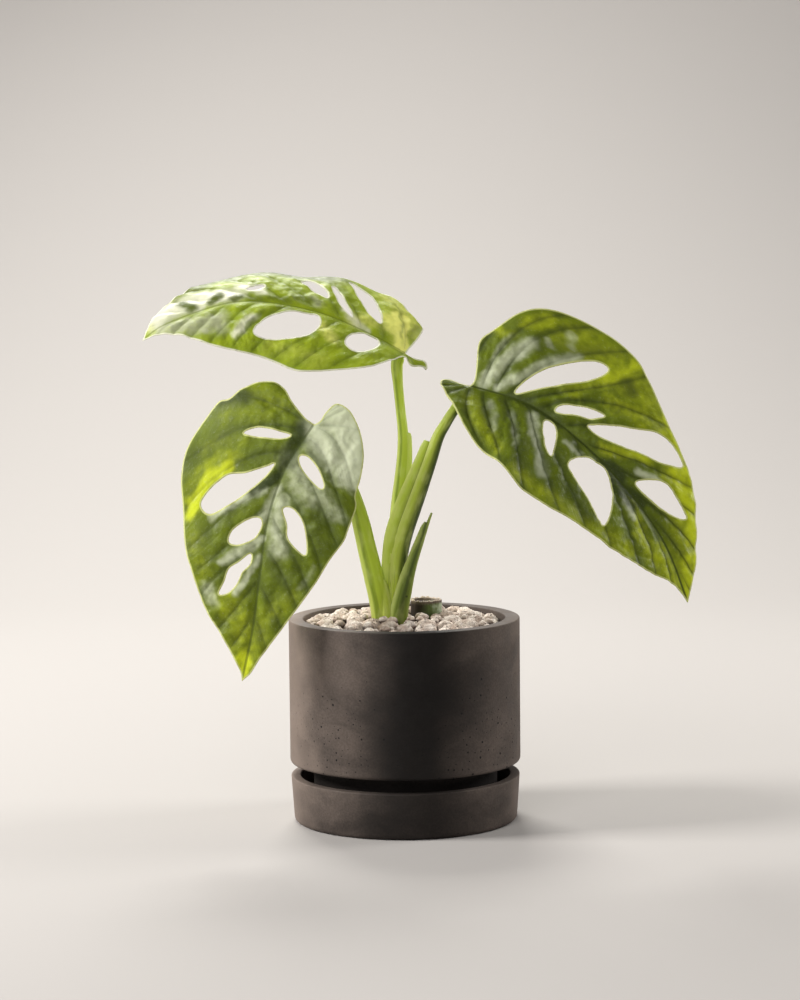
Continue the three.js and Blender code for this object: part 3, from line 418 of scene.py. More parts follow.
def ribbed_loft(stations):
    """A closed body along stations, with fine ribs that fade out at its tip."""
    path = catmull(stations, STALK_STEPS + 1)
    centre = path[:, :3]
    tangent = np.gradient(centre, axis=0)
    tangent /= np.linalg.norm(tangent, axis=1, keepdims=True)
    across = np.cross(tangent, (0, -1, 0))
    across /= np.linalg.norm(across, axis=1, keepdims=True)
    deep = np.cross(across, tangent)
    angle = np.linspace(0, 2 * np.pi, STALK_SIDES, endpoint=False)[None, :]
    t = np.linspace(0, 1, STALK_STEPS + 1)[:, None]
    scale = 1 + RIB_DEPTH * np.cos(RIBS * angle) * np.clip(8 * (1 - t), 0, 1)
    wide = path[:, 3:4] * np.cos(angle) * scale
    thick = path[:, 4:5] * np.sin(angle) * scale
    points = centre[:, None, :] + across[:, None, :] * wide[..., None] + deep[:, None, :] * thick[..., None]
    rings = np.arange((STALK_STEPS + 1) * STALK_SIDES).reshape(-1, STALK_SIDES).tolist()
    faces = []
    for low, high in zip(rings, rings[1:]):
        for k in range(STALK_SIDES):
            j = (k + 1) % STALK_SIDES
            faces.append((low[k], low[j], high[j], high[k]))
    faces.append(tuple(reversed(rings[0])))
    faces.append(tuple(rings[-1]))
    return points.reshape(-1, 3), faces


def fused(name, bodies, material):
    """One piece from several closed bodies that run into each other."""
    pieces = [add_mesh(f"{name}_{i}", points, faces, material) for i, (points, faces) in enumerate(bodies)]
    first = pieces[0]
    for other in pieces[1:]:
        joiner = first.modifiers.new("join", "BOOLEAN")
        joiner.operation = "UNION"
        joiner.solver = "MANIFOLD"
        joiner.object = other
    bpy.context.view_layer.update()
    evaluated = first.evaluated_get(bpy.context.evaluated_depsgraph_get())
    mesh = bpy.data.meshes.new_from_object(evaluated)
    for piece in pieces:
        bpy.data.objects.remove(piece)
    mesh.name = name
    mesh.shade_smooth()
    joined = bpy.data.objects.new(name, mesh)
    bpy.context.scene.collection.objects.link(joined)
    return joined


# Shader nodes
def feed(tree, socket, value):
    """Links a socket from another one, or gives it a value. A colour is given without its alpha."""
    if isinstance(value, bpy.types.NodeSocket):
        tree.links.new(value, socket)
    elif socket.type == "RGBA":
        socket.default_value = (*value, 1.0)
    else:
        socket.default_value = value


def put(tree, kind, inputs=None, **settings):
    """Adds a node with its settings and inputs, and hands back its outputs."""
    made = tree.nodes.new(kind)
    for key, value in settings.items():
        setattr(made, key, value)
    for key, value in (inputs or {}).items():
        feed(tree, made.inputs[key], value)
    return made.outputs


def maths(tree, operation, *values):
    return put(tree, "ShaderNodeMath", dict(enumerate(values)), operation=operation)[0]


def plus(tree, first, second):
    return maths(tree, "ADD", first, second)


def minus(tree, first, second):
    return maths(tree, "SUBTRACT", first, second)


def times(tree, *values):
    """The product of two or more values."""
    product = values[0]
    for value in values[1:]:
        product = maths(tree, "MULTIPLY", product, value)
    return product


def ramp(tree, value, low, high, bottom=0.0, top=1.0):
    """Goes softly from bottom to top while value goes from low to high."""
    inputs = {0: value, 1: low, 2: high, 3: bottom, 4: top}
    return put(tree, "ShaderNodeMapRange", inputs, interpolation_type="SMOOTHSTEP")[0]


def blended(tree, amount, first, second, how="MIX"):
    """The first colour, changed by the second one as far as amount says."""
    inputs = {0: amount, 6: first, 7: second}
    return put(tree, "ShaderNodeMix", inputs, data_type="RGBA", blend_type=how)[2]


def cloud(tree, place, scale, detail=3.0, coarse=0.5):
    """Smooth noise between 0 and 1."""
    inputs = {"Vector": place, "Scale": scale, "Detail": detail, "Roughness": coarse}
    return put(tree, "ShaderNodeTexNoise", inputs)[0]


def stretched(tree, place, scale):
    return put(tree, "ShaderNodeVectorMath", {0: place, 1: scale}, operation="MULTIPLY")[0]


def parts(tree, vector):
    """The x, y and z of a vector."""
    return tuple(put(tree, "ShaderNodeSeparateXYZ", {0: vector}))


def vector_of(tree, *values):
    return put(tree, "ShaderNodeCombineXYZ", dict(enumerate(values)))[0]


def cells_and_chances(tree, place, scale, **settings):
    """How far the middle of the nearest cell is, and three numbers drawn by lot for that cell."""
    cells = put(tree, "ShaderNodeTexVoronoi", {"Vector": place, "Scale": scale}, **settings)
    chances = put(tree, "ShaderNodeSeparateColor", {0: cells["Color"]})
    return cells["Distance"], chances


def stored(tree, name, kind="Fac"):
    """What store() kept for each vertex: a number as Fac, three as Vector."""
    return put(tree, "ShaderNodeAttribute", attribute_name=name)[kind]


def object_place(tree):
    return put(tree, "ShaderNodeTexCoord")["Object"]


def new_group(name, inputs, colors, values):
    """An empty node group: inputs with their first values, and the outputs that are colours and values."""
    tree = bpy.data.node_groups.new(name, "ShaderNodeTree")
    for label, value in inputs.items():
        is_color = isinstance(value, tuple)
        kind = "NodeSocketColor" if is_color else "NodeSocketFloat"
        socket = tree.interface.new_socket(label, in_out="INPUT", socket_type=kind)
        socket.default_value = (*value, 1.0) if is_color else value
    for label in colors:
        tree.interface.new_socket(label, in_out="OUTPUT", socket_type="NodeSocketColor")
    for label in values:
        tree.interface.new_socket(label, in_out="OUTPUT", socket_type="NodeSocketFloat")
    source = tree.nodes.new("NodeGroupInput")
    sink = tree.nodes.new("NodeGroupOutput")
    return tree, source.outputs, sink.inputs


def placed(tree, group, values):
    """Places a node group with its own values."""
    return put(tree, "ShaderNodeGroup", values, node_tree=group)


def new_material(name):
    material = bpy.data.materials.new(name)
    material.use_nodes = True
    tree = material.node_tree
    tree.nodes.clear()
    return material, tree


def surface_shader(tree, color, roughness, height, distance, specular=0.5):
    """The surface with its relief. distance is the depth of the relief, in metres."""
    bump = put(tree, "ShaderNodeBump", {"Height": height, "Distance": distance, "Strength": 1.0})
    return put(tree, "ShaderNodeBsdfPrincipled", {
        "Base Color": color,
        "Roughness": roughness,
        "Specular IOR Level": specular,
        "Normal": bump[0],
    })[0]


def lit_through(tree, surface, color, share):
    """Lets a share of the light come through the surface, in a colour."""
    through = put(tree, "ShaderNodeBsdfTranslucent", {"Color": color})[0]
    return put(tree, "ShaderNodeMixShader", {0: share, 1: surface, 2: through})[0]


def output_shader(tree, surface):
    put(tree, "ShaderNodeOutputMaterial", {"Surface": surface})


# Concrete
def pinholes(tree, place, share, top):
    """A mask of small round holes on the unrolled wall, fewest in the middle, none above a ragged line."""
    x, y, z = parts(tree, place)
    round_wall = times(tree, maths(tree, "ARCTAN2", x, times(tree, y, -1.0)), POT_BOX[1].x)
    wrapped = vector_of(tree, round_wall, z)
    way, chances = cells_and_chances(tree, wrapped, 250.0, voronoi_dimensions="2D")
    size = maths(tree, "MULTIPLY_ADD", maths(tree, "POWER", chances[1], 3.0), 0.1, 0.055)
    hole = maths(tree, "LESS_THAN", way, size)
    sides = ramp(tree, maths(tree, "ABSOLUTE", x), 0.0, 0.04, 0.35, 1.0)
    kept = maths(tree, "LESS_THAN", chances[0], times(tree, share, sides))
    low = maths(tree, "LESS_THAN", plus(tree, z, times(tree, chances[2], 0.03)), top)
    return times(tree, hole, kept, low)


def concrete_group():
    """Warped clouds of two greys under a fine grain, with pinholes."""
    tree, given, made = new_group("Cast concrete", {
        "Dark": (0.03, 0.025, 0.02),
        "Light": (0.12, 0.1, 0.09),
        "Pinhole Top": 0.07,
        "Pinhole Share": 0.5,
    }, ("Color",), ("Roughness", "Height"))
    grain_shade = (0.35, 0.35, 0.35)
    no_shade = (1, 1, 1)
    hole_color = (0.004, 0.0035, 0.003)
    warp = (0.06, 0.06, 0.06)
    place = object_place(tree)
    swirl = put(tree, "ShaderNodeTexNoise", {"Vector": place, "Scale": 18.0, "Detail": 3.0})["Color"]
    warped = put(tree, "ShaderNodeVectorMath", {0: swirl, 1: warp, 2: place}, operation="MULTIPLY_ADD")[0]
    broad = cloud(tree, stretched(tree, warped, (0.6, 0.6, 1.7)), 24.0, 6.0, 0.58)
    fine = cloud(tree, place, 90.0, 5.0, 0.65)
    grain = cloud(tree, place, 900.0, 2.0, 0.6)
    amount = plus(tree, times(tree, broad, 0.8), times(tree, fine, 0.2))
    color = blended(tree, ramp(tree, amount, 0.32, 0.66), given["Dark"], given["Light"])
    grainy = blended(tree, ramp(tree, grain, 0.3, 0.7), grain_shade, no_shade)
    color = blended(tree, 0.35, color, grainy, "MULTIPLY")
    hole = pinholes(tree, place, given["Pinhole Share"], given["Pinhole Top"])
    color = blended(tree, times(tree, hole, 0.95), color, hole_color)
    relief = plus(tree, times(tree, grain, 0.25), times(tree, fine, 0.35))
    feed(tree, made["Color"], color)
    feed(tree, made["Roughness"], ramp(tree, fine, 0.3, 0.7, 0.62, 0.8))
    feed(tree, made["Height"], minus(tree, relief, hole))
    return tree


def concrete_material(name, group, sizes, pinhole_top, pinhole_share, front_shade_and_mottling, foot_shade):
    """The front is darker than the sides by the given share: painted shade where the side lights don't
    reach, partly the concrete's darker mottling. foot_shade is how much darker the foot is: painted shade
    under the wide body. Both sides get a painted highlight.
    """
    side_highlight_color = (0.3, 0.235, 0.195)
    shade_and_mottling_color = (0.005, 0.004, 0.0035)
    front_shade_middle = 0.006
    material, tree = new_material(name)
    made = placed(tree, group, {
        "Dark": sizes.dark,
        "Light": sizes.light,
        "Pinhole Top": pinhole_top,
        "Pinhole Share": pinhole_share,
    })
    place = object_place(tree)
    x, y, z = parts(tree, place)
    # Painted shade on the front, which the side lights don't reach, with some of the concrete's darker
    # mottling; the clouds make its edge ragged
    drift = times(tree, minus(tree, cloud(tree, place, 22.0, 3.0), 0.5), 0.03)
    reach = plus(tree, maths(tree, "ABSOLUTE", minus(tree, x, front_shade_middle)), drift)
    front = ramp(tree, y, -0.03, -0.05)
    amount = times(tree, ramp(tree, reach, 0.042, 0.008), front, front_shade_and_mottling)
    # Painted shade on the foot, under the wide body
    foot = times(tree, ramp(tree, z, 0.0325, 0.0295), foot_shade)
    # Painted highlight down both sides, where the side lights graze the wall
    side_highlight = times(tree, ramp(tree, reach, 0.046, 0.064), 0.5)
    color = blended(tree, side_highlight, made["Color"], side_highlight_color)
    color = blended(tree, maths(tree, "MAXIMUM", amount, foot), color, shade_and_mottling_color)
    output_shader(tree, surface_shader(tree, color, made["Roughness"], made["Height"], 0.0003, 0.22))
    return material


# Pumice, potting mix and crown
def pumice_material(look):
    """Pale porous stone, darker on the lower side of each lump: painted shade, and partly soil dust."""
    warm_tone = (0.50, 0.36, 0.27)
    pore_color = (0.16, 0.10, 0.065)
    speck_color = (0.34, 0.24, 0.175)
    shade_and_dust_color = (0.1, 0.068, 0.05)
    material, tree = new_material("pumice")
    place = object_place(tree)
    broad = cloud(tree, place, 190.0, 4.0, 0.6)
    fine = cloud(tree, place, 900.0, 4.0, 0.65)
    color = blended(tree, ramp(tree, broad, 0.35, 0.62), look.shade, look.light)
    color = blended(tree, times(tree, stored(tree, "tone"), 0.55), color, warm_tone)
    cells = put(tree, "ShaderNodeTexVoronoi", {"Vector": place, "Scale": 700.0})
    patch = ramp(tree, cloud(tree, place, 240.0, 2.0), 0.46, 0.58)
    pore = times(tree, ramp(tree, cells["Distance"], 0.34, 0.12), patch)
    color = blended(tree, times(tree, pore, 0.85), color, pore_color)
    color = blended(tree, ramp(tree, fine, 0.5, 0.66, 0.0, 0.42), color, speck_color)
    # Painted shade on the lower side of each lump and in the gaps between lumps, with some soil dust
    shade_and_dust = ramp(tree, stored(tree, "height_on_lump"), 0.5, -0.35, 0.0, 0.95)
    color = blended(tree, shade_and_dust, color, shade_and_dust_color)
    relief = minus(tree, plus(tree, broad, times(tree, fine, 0.6)), times(tree, pore, 0.8))
    output_shader(tree, surface_shader(tree, color, 0.9, relief, 0.002, 0.25))
    return material


def soil_material():
    """Dark crumbs with lighter bits."""
    material, tree = new_material("potting_mix")
    place = object_place(tree)
    broad = cloud(tree, place, 160.0, 5.0, 0.6)
    fine = cloud(tree, place, 700.0, 3.0, 0.6)
    color = blended(tree, ramp(tree, broad, 0.35, 0.65), (0.012, 0.008, 0.005), (0.05, 0.032, 0.02))
    color = blended(tree, ramp(tree, fine, 0.6, 0.7, 0.0, 0.6), color, (0.13, 0.09, 0.06))
    output_shader(tree, surface_shader(tree, color, 0.95, plus(tree, broad, fine), 0.001, 0.2))
    return material


def crown_material():
    """Brown that turns to green in clouds."""
    material, tree = new_material("crown")
    broad = cloud(tree, object_place(tree), 120.0, 4.0, 0.6)
    color = blended(tree, ramp(tree, broad, 0.35, 0.65), (0.1, 0.07, 0.035), (0.2, 0.22, 0.06))
    output_shader(tree, surface_shader(tree, color, 0.75, broad, 0.001))
    return material


# Leaves
def quadratic(values, t):
    """A curve through three values, at 0, a half and 1."""
    base, middle, tip = values
    return base * (1 - t) * (1 - 2 * t) + middle * 4 * t * (1 - t) + tip * t * (2 * t - 1)


def vein_field(leaf, along, across):
    """For flat points: a count that is whole on each side vein, the way between veins there, and the way to
    the nearest one."""
    count = np.zeros(len(along))
    spacing = np.full(len(along), 10.0)
    for half, veins in ((across >= 0, leaf["plus_veins"]), (across < 0, leaf["minus_veins"])):
        x = np.abs(across[half]) / VEIN_STEP
        weights = ((x - 1) * (x - 2) / 2, x * (2 - x), x * (x - 1) / 2)
        starts = np.array([sum(w * v for w, v in zip(weights, vein)) for vein in veins])
        slopes = np.gradient(np.array(veins, float), VEIN_STEP, axis=1)
        starts = np.maximum.accumulate(starts + 0.5 * np.arange(len(veins))[:, None], axis=0)
        place = along[half]
        step = np.clip((place[None, :] >= starts).sum(axis=0) - 1, 0, len(veins) - 2)
        columns = np.arange(len(place))
        low = starts[step, columns]
        gap = np.maximum(starts[step + 1, columns] - low, 1.0)
        slope = slopes[step, np.clip(np.round(x).astype(int), 0, 2)]
        count[half] = step + (place - low) / gap
        spacing[half] = gap / np.sqrt(1 + slope**2)
    nearest = np.abs(count - np.round(count)) * spacing
    return count, spacing, nearest


def bent(leaf, flat, rise):
    """Flat points of a leaf, raised by rise from its middle surface, where they stand in space."""
    along, across = flat[:, 0], flat[:, 1]
    curve = catmull(leaf["rib"], RIB_STEPS)
    run = lengths_along(curve)
    length = run[-1]
    ways = np.gradient(curve, run, axis=0)
    t = np.clip(along / length, 0, 1)
    origin = np.column_stack([np.interp(t * length, run, curve[:, k]) for k in range(3)])
    tangent = np.column_stack([np.interp(t * length, run, ways[:, k]) for k in range(3)])
    tangent /= np.linalg.norm(tangent, axis=1, keepdims=True)
    face = np.array(leaf["face"], float)
    upper = face - (tangent @ face)[:, None] * tangent
    upper /= np.linalg.norm(upper, axis=1, keepdims=True)
    side = np.cross(upper, tangent)
    bend = np.where(across < 0, *leaf["lobe_bend"]) * DEG / LOBE_LENGTH
    turn = np.maximum(-along, 0) * bend
    origin = origin - (np.sin(turn) / bend)[:, None] * tangent - ((1 - np.cos(turn)) / bend)[:, None] * upper
    upper = np.cos(turn)[:, None] * upper - np.sin(turn)[:, None] * tangent
    out = np.abs(across)
    sign = np.where(across >= 0, 1.0, -1.0)
    fold = np.empty(len(along))
    curl = np.empty(len(along))
    wave = np.empty(len(along))
    for half, bends in ((across >= 0, leaf["plus"]), (across < 0, leaf["minus"])):
        height, period, phase = bends["wave"]
        fold[half] = quadratic(bends["fold"], t[half]) * DEG
        fold[half] += leaf["lobe_fold"] * DEG * smooth(0, 7, -along[half]) * (across[half] > 0)
        curl[half] = quadratic(bends["curl"], t[half]) * DEG / HALF_WIDTH
        swing = np.sin(2 * np.pi * along[half] / period + phase)
        wave[half] = height * (out[half] / HALF_WIDTH) ** 2 * swing
    slope = fold - curl * out
    reach = (np.sin(fold) - np.sin(slope)) / curl
    lift = (np.cos(slope) - np.cos(fold)) / curl
    rise = rise + wave
    sideways = sign * (reach - np.sin(slope) * rise)
    return origin + sideways[:, None] * side + (lift + np.cos(slope) * rise)[:, None] * upper


def inside(loop, points):
    """Which flat points lie inside a closed loop."""
    x, y = points[:, 0], points[:, 1]
    within = np.zeros(len(points), bool)
    for (x0, y0), (x1, y1) in zip(loop, np.roll(loop, -1, axis=0)):
        if y0 != y1:
            crossing = (y0 > y) != (y1 > y)
            within ^= crossing & (x < (x1 - x0) * (y - y0) / (y1 - y0) + x0)
    return within


def in_blade(points, loops):
    """Which flat points lie inside the outline, the first loop, and outside every hole."""
    within = inside(loops[0], points)
    for hole in loops[1:]:
        within &= ~inside(hole, points)
    return within


def nearest_way(points, loops):
    """The way from each flat point to the nearest edge of the blade or of a hole."""
    nearest = np.full(len(points), FAR)
    at_once = 2000
    for start in loops:
        step = np.roll(start, -1, axis=0) - start
        size = (step**2).sum(axis=1)
        for first in range(0, len(points), at_once):
            some = points[first:first + at_once, None, :]
            t = np.clip(((some - start) * step).sum(axis=2) / size, 0, 1)
            apart = some - (start + t[..., None] * step)
            way = np.sqrt((apart**2).sum(axis=2)).min(axis=1)
            nearest[first:first + at_once] = np.minimum(nearest[first:first + at_once], way)
    return nearest


def inner_ring(loop, is_hole, inset):
    """A loop moved into the blade: the outline towards its middle, a hole away from it."""
    along = np.roll(loop, -1, axis=0) - np.roll(loop, 1, axis=0)
    along /= np.linalg.norm(along, axis=1, keepdims=True)
    normal = np.column_stack([-along[:, 1], along[:, 0]])
    area = (loop[:, 0] * np.roll(loop[:, 1], -1) - np.roll(loop[:, 0], -1) * loop[:, 1]).sum()
    way = np.sign(area) * (-1 if is_hole else 1)
    return loop + way * inset * normal


def blade_points(loops, spacing):
    """Flat points in close rows along every edge, then in even triangles between them and on the midrib."""
    rows = list(loops)
    for inset in EDGE_ROWS:
        for i, loop in enumerate(loops):
            ring = inner_ring(loop, i > 0, inset)
            clear = nearest_way(ring, loops) > 0.9 * inset
            rows.append(ring[in_blade(ring, loops) & clear])
    low = loops[0].min(axis=0)
    high = loops[0].max(axis=0)
    row_step = spacing * math.sqrt(0.75)
    grid = []
    for k, y in enumerate(np.arange(low[1] - low[1] % row_step, high[1], row_step)):
        x = np.arange(low[0], high[0], spacing) + (k % 2) * spacing / 2
        grid.append(np.column_stack([x, np.full(len(x), y)]))
    grid = np.vstack(grid)
    grid = grid[in_blade(grid, loops)]
    grid = grid[np.abs(grid[:, 1]) > 0.4 * spacing]
    midrib = np.arange(3, high[0] - 3, spacing)
    midrib = np.column_stack([midrib, np.zeros(len(midrib))])
    clearance = EDGE_ROWS[-1] + 0.45 * spacing
    rows += [some[nearest_way(some, loops) > clearance] for some in (grid, midrib)]
    return np.vstack(rows)


def triangulated(points, loops):
    """Flat points and triangles of a blade, cut along its outline and holes and all turned the same way."""
    edges = []
    start = 0
    for loop in loops:
        edges += [(start + i, start + (i + 1) % len(loop)) for i in range(len(loop))]
        start += len(loop)
    vectors = [Vector(point) for point in points]
    coordinates, _, triangles, *_ = delaunay_2d_cdt(vectors, edges, [], 0, 1e-6)
    flat = np.array([tuple(point) for point in coordinates])
    triangles = np.array(triangles)
    triangles = triangles[in_blade(flat[triangles].mean(axis=1), loops)]
    first, second, third = (flat[triangles[:, k]] for k in range(3))
    area = (second[:, 0] - first[:, 0]) * (third[:, 1] - first[:, 1])
    area -= (second[:, 1] - first[:, 1]) * (third[:, 0] - first[:, 0])
    triangles[area < 0] = triangles[area < 0][:, ::-1]
    triangles = triangles[np.abs(area) > 1e-7]
    used = np.unique(triangles)
    fresh = np.zeros(len(flat), int)
    fresh[used] = np.arange(len(used))
    return flat[used], fresh[triangles]


def open_edges(triangles):
    """The edges that only one triangle has."""
    borders = {}
    for a, b, c in triangles:
        for start, end in ((a, b), (b, c), (c, a)):
            if (end, start) in borders:
                del borders[(end, start)]
            else:
                borders[(start, end)] = True
    return list(borders)


def mark_strength(points, marks):
    """How strong soft strokes of one colour are at flat points."""
    strength = np.zeros(len(points))
    for width, amount, line in marks:
        line = np.array(line, float)
        way = np.full(len(points), FAR)
        for start, end in zip(line, line[1:]):
            step = end - start
            t = np.clip(((points - start) @ step) / (step @ step), 0, 1)
            way = np.minimum(way, np.linalg.norm(points - start - t[:, None] * step, axis=1))
        strength = np.maximum(strength, amount * (1 - smooth(0.1 * width, 1.9 * width, way)))
    return strength


def uneven_marks(leaf, flat):
    """The strength of the mint, lime and deep green marks, with edges that wander."""
    wander = np.array(flat)
    for height, scale, layer in ((2.6, 0.1, 3), (0.9, 0.33, 0)):
        for axis in (0, 1):
            wander[:, axis] += height * rough(flat, scale, leaf["seed"] + layer + 40.5 * axis)
    return np.column_stack([mark_strength(wander, leaf["marks"][kind]) for kind in ("mint", "lime", "deep")])


def make_blade(name, leaf, look, material):
    """A thin shell: two surfaces with puffs, puckers and veins, closed along every edge."""
    mesh_spacing = look.mesh_spacing / MM
    loops = [np.vstack([evenly(leaf["minus_edge"], mesh_spacing), evenly(leaf["plus_edge"], mesh_spacing)])]
    loops += [evenly(hole, mesh_spacing * 0.9, closed=True) for hole in leaf["holes"]]
    flat, triangles = triangulated(blade_points(loops, mesh_spacing), loops)
    total = len(flat)
    along, across = flat[:, 0], flat[:, 1]
    out = np.abs(across)
    seed = leaf["seed"]
    t = np.clip(along / lengths_along(catmull(leaf["rib"], RIB_STEPS))[-1], 0, 1)
    count, spacing, nearest = vein_field(leaf, along, across)
    rim = nearest_way(flat, loops)

    calm = smooth(0, 5, out) * (1 - 0.8 * smooth(22, HALF_WIDTH, out))
    calm *= smooth(2, 16, np.hypot(along, across))
    bulge = np.sin(np.pi * (count % 1))
    puff = leaf["puff"] * calm * np.minimum(1, spacing / 9) * bulge * (0.8 + rough(flat, 0.045, seed + 5))
    pucker = rough(flat, 0.16, seed) + 0.35 * rough(flat, 0.42, seed + 9)
    puff += calm * leaf["pucker"] * (look.pucker / MM) * pucker
    groove = look.vein_depth / MM * np.exp(-(nearest / 0.8) ** 2) * smooth(1, 5, out) * smooth(0.5, 4, rim)
    midrib = np.exp(-(out / (1.3 - 0.6 * t)) ** 2) * (1 - 0.5 * t)
    half = look.thickness / MM / 2 * (0.4 + 0.6 * smooth(0, 1.6, rim))
    over = puff + half - groove - 0.3 * midrib
    under = puff - half - 0.55 * groove - 0.9 * midrib * smooth(0, 2.5, rim)

    points = np.vstack([bent(leaf, flat, over), bent(leaf, flat, under)])
    faces = triangles.tolist() + (triangles[:, ::-1] + total).tolist()
    faces += [(b, a, total + a, total + b) for a, b in open_edges(triangles.tolist())]
    piece = add_mesh(name, points, faces, material)
    below = np.repeat([0.0, 1.0], total)
    store(piece, "leaf_place", np.column_stack([np.tile(flat, (2, 1)), below]))
    fields = {
        "vein_count": count,
        "vein_spacing": spacing,
        "rim_way": rim,
        "marks": uneven_marks(leaf, flat),
        "leaf_seed": np.full(total, seed),
        "vein_shade": np.full(total, leaf["vein_shade"]),
    }
    for field, values in fields.items():
        store(piece, field, np.concatenate([values, values]))
    return piece


def leaf_group():
    """The markings of a blade: greens streaked along its side veins, lime marks of painted light coming
    through, deep marks of darker green and in part painted shade, mint marks of pale mint and in part
    painted sheen, and painted shade along the veins.
    """
    tree, given, made = new_group("Leaf markings", {
        "Green": (0.1, 0.13, 0.02),
        "Fresh": (0.2, 0.26, 0.01),
        "Lime": (0.58, 0.62, 0.03),
        "Deep": (0.045, 0.055, 0.012),
        "Mint": (0.45, 0.48, 0.32),
        "Rim": (0.5, 0.5, 0.2),
    }, ("Color", "Glow"), ("Roughness", "Height"))
    along, across, below = parts(tree, stored(tree, "leaf_place", "Vector"))
    mint, lime, deep = parts(tree, stored(tree, "marks", "Vector"))
    count = stored(tree, "vein_count")
    seed = stored(tree, "leaf_seed")
    vein_shade = stored(tree, "vein_shade")
    out = maths(tree, "ABSOLUTE", across)
    flat = vector_of(tree, along, across, seed)
    veined = vector_of(tree, times(tree, count, 9.0), across, seed)

    # Two greens, mixed by clouds and by the place between two side veins
    streak = cloud(tree, stretched(tree, veined, (0.55, 0.07, 1.0)), 1.0, 4.0, 0.6)
    blotch = cloud(tree, flat, 0.09, 4.0, 0.6)
    patch = cloud(tree, flat, 0.26, 1.5, 0.5)
    speck = cloud(tree, flat, 0.9, 3.0, 0.7)
    middle = maths(tree, "PINGPONG", count, 0.5)
    mixture = maths(tree, "MULTIPLY_ADD", blotch, 0.42, times(tree, middle, 0.4))
    mixture = maths(tree, "MULTIPLY_ADD", streak, 0.16, mixture)
    mixture = maths(tree, "MULTIPLY_ADD", patch, 0.22, mixture)
    color = blended(tree, ramp(tree, mixture, 0.28, 0.72), given["Green"], given["Fresh"])

    # Marks with uneven edges (painted light through the blade, darker green with painted shade, pale mint
    # with painted sheen), and small pale specks
    uneven = minus(tree, plus(tree, times(tree, patch, 0.8), times(tree, speck, 0.2)), 0.5)
    for mark, tint, unevenness in ((lime, "Lime", 0.7), (mint, "Mint", 0.7), (deep, "Deep", 0.8)):
        ragged = times(tree, ramp(tree, mark, 0.0, 0.4), times(tree, uneven, unevenness))
        color = blended(tree, ramp(tree, plus(tree, mark, ragged), 0.0, 1.05), color, given[tint])
    color = blended(tree, ramp(tree, speck, 0.55, 0.75, 0.0, 0.12), color, given["Mint"])

    # Painted shade in the dip beside each side vein, dark lines on the side veins that are in part painted
    # shade in their grooves, and the midrib, all fainter on the mint
    way = times(tree, middle, stored(tree, "vein_spacing"))
    off_midrib = ramp(tree, out, 1.0, 4.0)
    hollow_shade = times(tree, ramp(tree, way, 2.4, 0.2), off_midrib, vein_shade, 0.6)
    hollow_shade = times(tree, hollow_shade, ramp(tree, mint, 0.2, 0.9, 1.0, 0.5))
    color = blended(tree, hollow_shade, color, given["Deep"])
    vein = times(tree, ramp(tree, way, 0.75, 0.1), off_midrib, ramp(tree, out, 12.0, 36.0, 1.0, 0.45))
    vein = times(tree, vein, ramp(tree, mint, 0.2, 0.9, 1.0, 0.35), vein_shade)
    midrib = times(tree, ramp(tree, out, 0.9, 0.3), plus(tree, vein_shade, 0.3))
    vein_color = blended(tree, 0.15, given["Deep"], given["Fresh"])
    color = blended(tree, maths(tree, "MAXIMUM", vein, midrib), color, vein_color)

    # A thin pale rim, and a paler underside
    color = blended(tree, ramp(tree, stored(tree, "rim_way"), 1.0, 0.45, 0.0, 0.9), color, given["Rim"])
    underside = blended(tree, 0.45, color, blended(tree, 0.5, given["Fresh"], given["Mint"]))
    color = blended(tree, below, color, underside)
    fine_veins = maths(tree, "PINGPONG", times(tree, count, 7.0), 0.5)
    feed(tree, made["Color"], color)
    feed(tree, made["Glow"], blended(tree, 0.25, color, given["Lime"]))
    feed(tree, made["Roughness"], ramp(tree, patch, 0.35, 0.65, 0.42, 0.55))
    feed(tree, made["Height"], plus(tree, times(tree, fine_veins, 0.3), times(tree, speck, 0.8)))
    return tree


def leaf_material(name, group, colors):
    """A blade's surface, with light that comes through it."""
    material, tree = new_material(name)
    made = placed(tree, group, colors)
    surface = surface_shader(tree, made["Color"], made["Roughness"], made["Height"], 0.00022, 0.28)
    output_shader(tree, lit_through(tree, surface, made["Glow"], 0.28))
    return material


# Stalks, spear and stub
def stalk_places(piece, lofts):
    """Stores where round its body each vertex is, as a point on a circle, and how far up that body."""
    points = points_of(piece)
    places = np.zeros((len(points), 3))
    misfit = np.full(len(points), FAR)
    for stations in lofts:
        path = catmull(stations, 300)
        run = lengths_along(path[:, :3])
        apart = ((points[:, None, :] - path[None, :, :3]) ** 2).sum(axis=2)
        near = apart.argmin(axis=1)
        offset = points - path[near, :3]
        wide = offset[:, 0] / path[near, 3]
        deep = -offset[:, 1] / path[near, 4]
        off = np.abs(np.hypot(wide, deep) - 1)
        nearer = off < misfit
        misfit[nearer] = off[nearer]
        places[nearer] = np.column_stack([wide, deep, run[near]])[nearer]
    store(piece, "stalk_place", places)


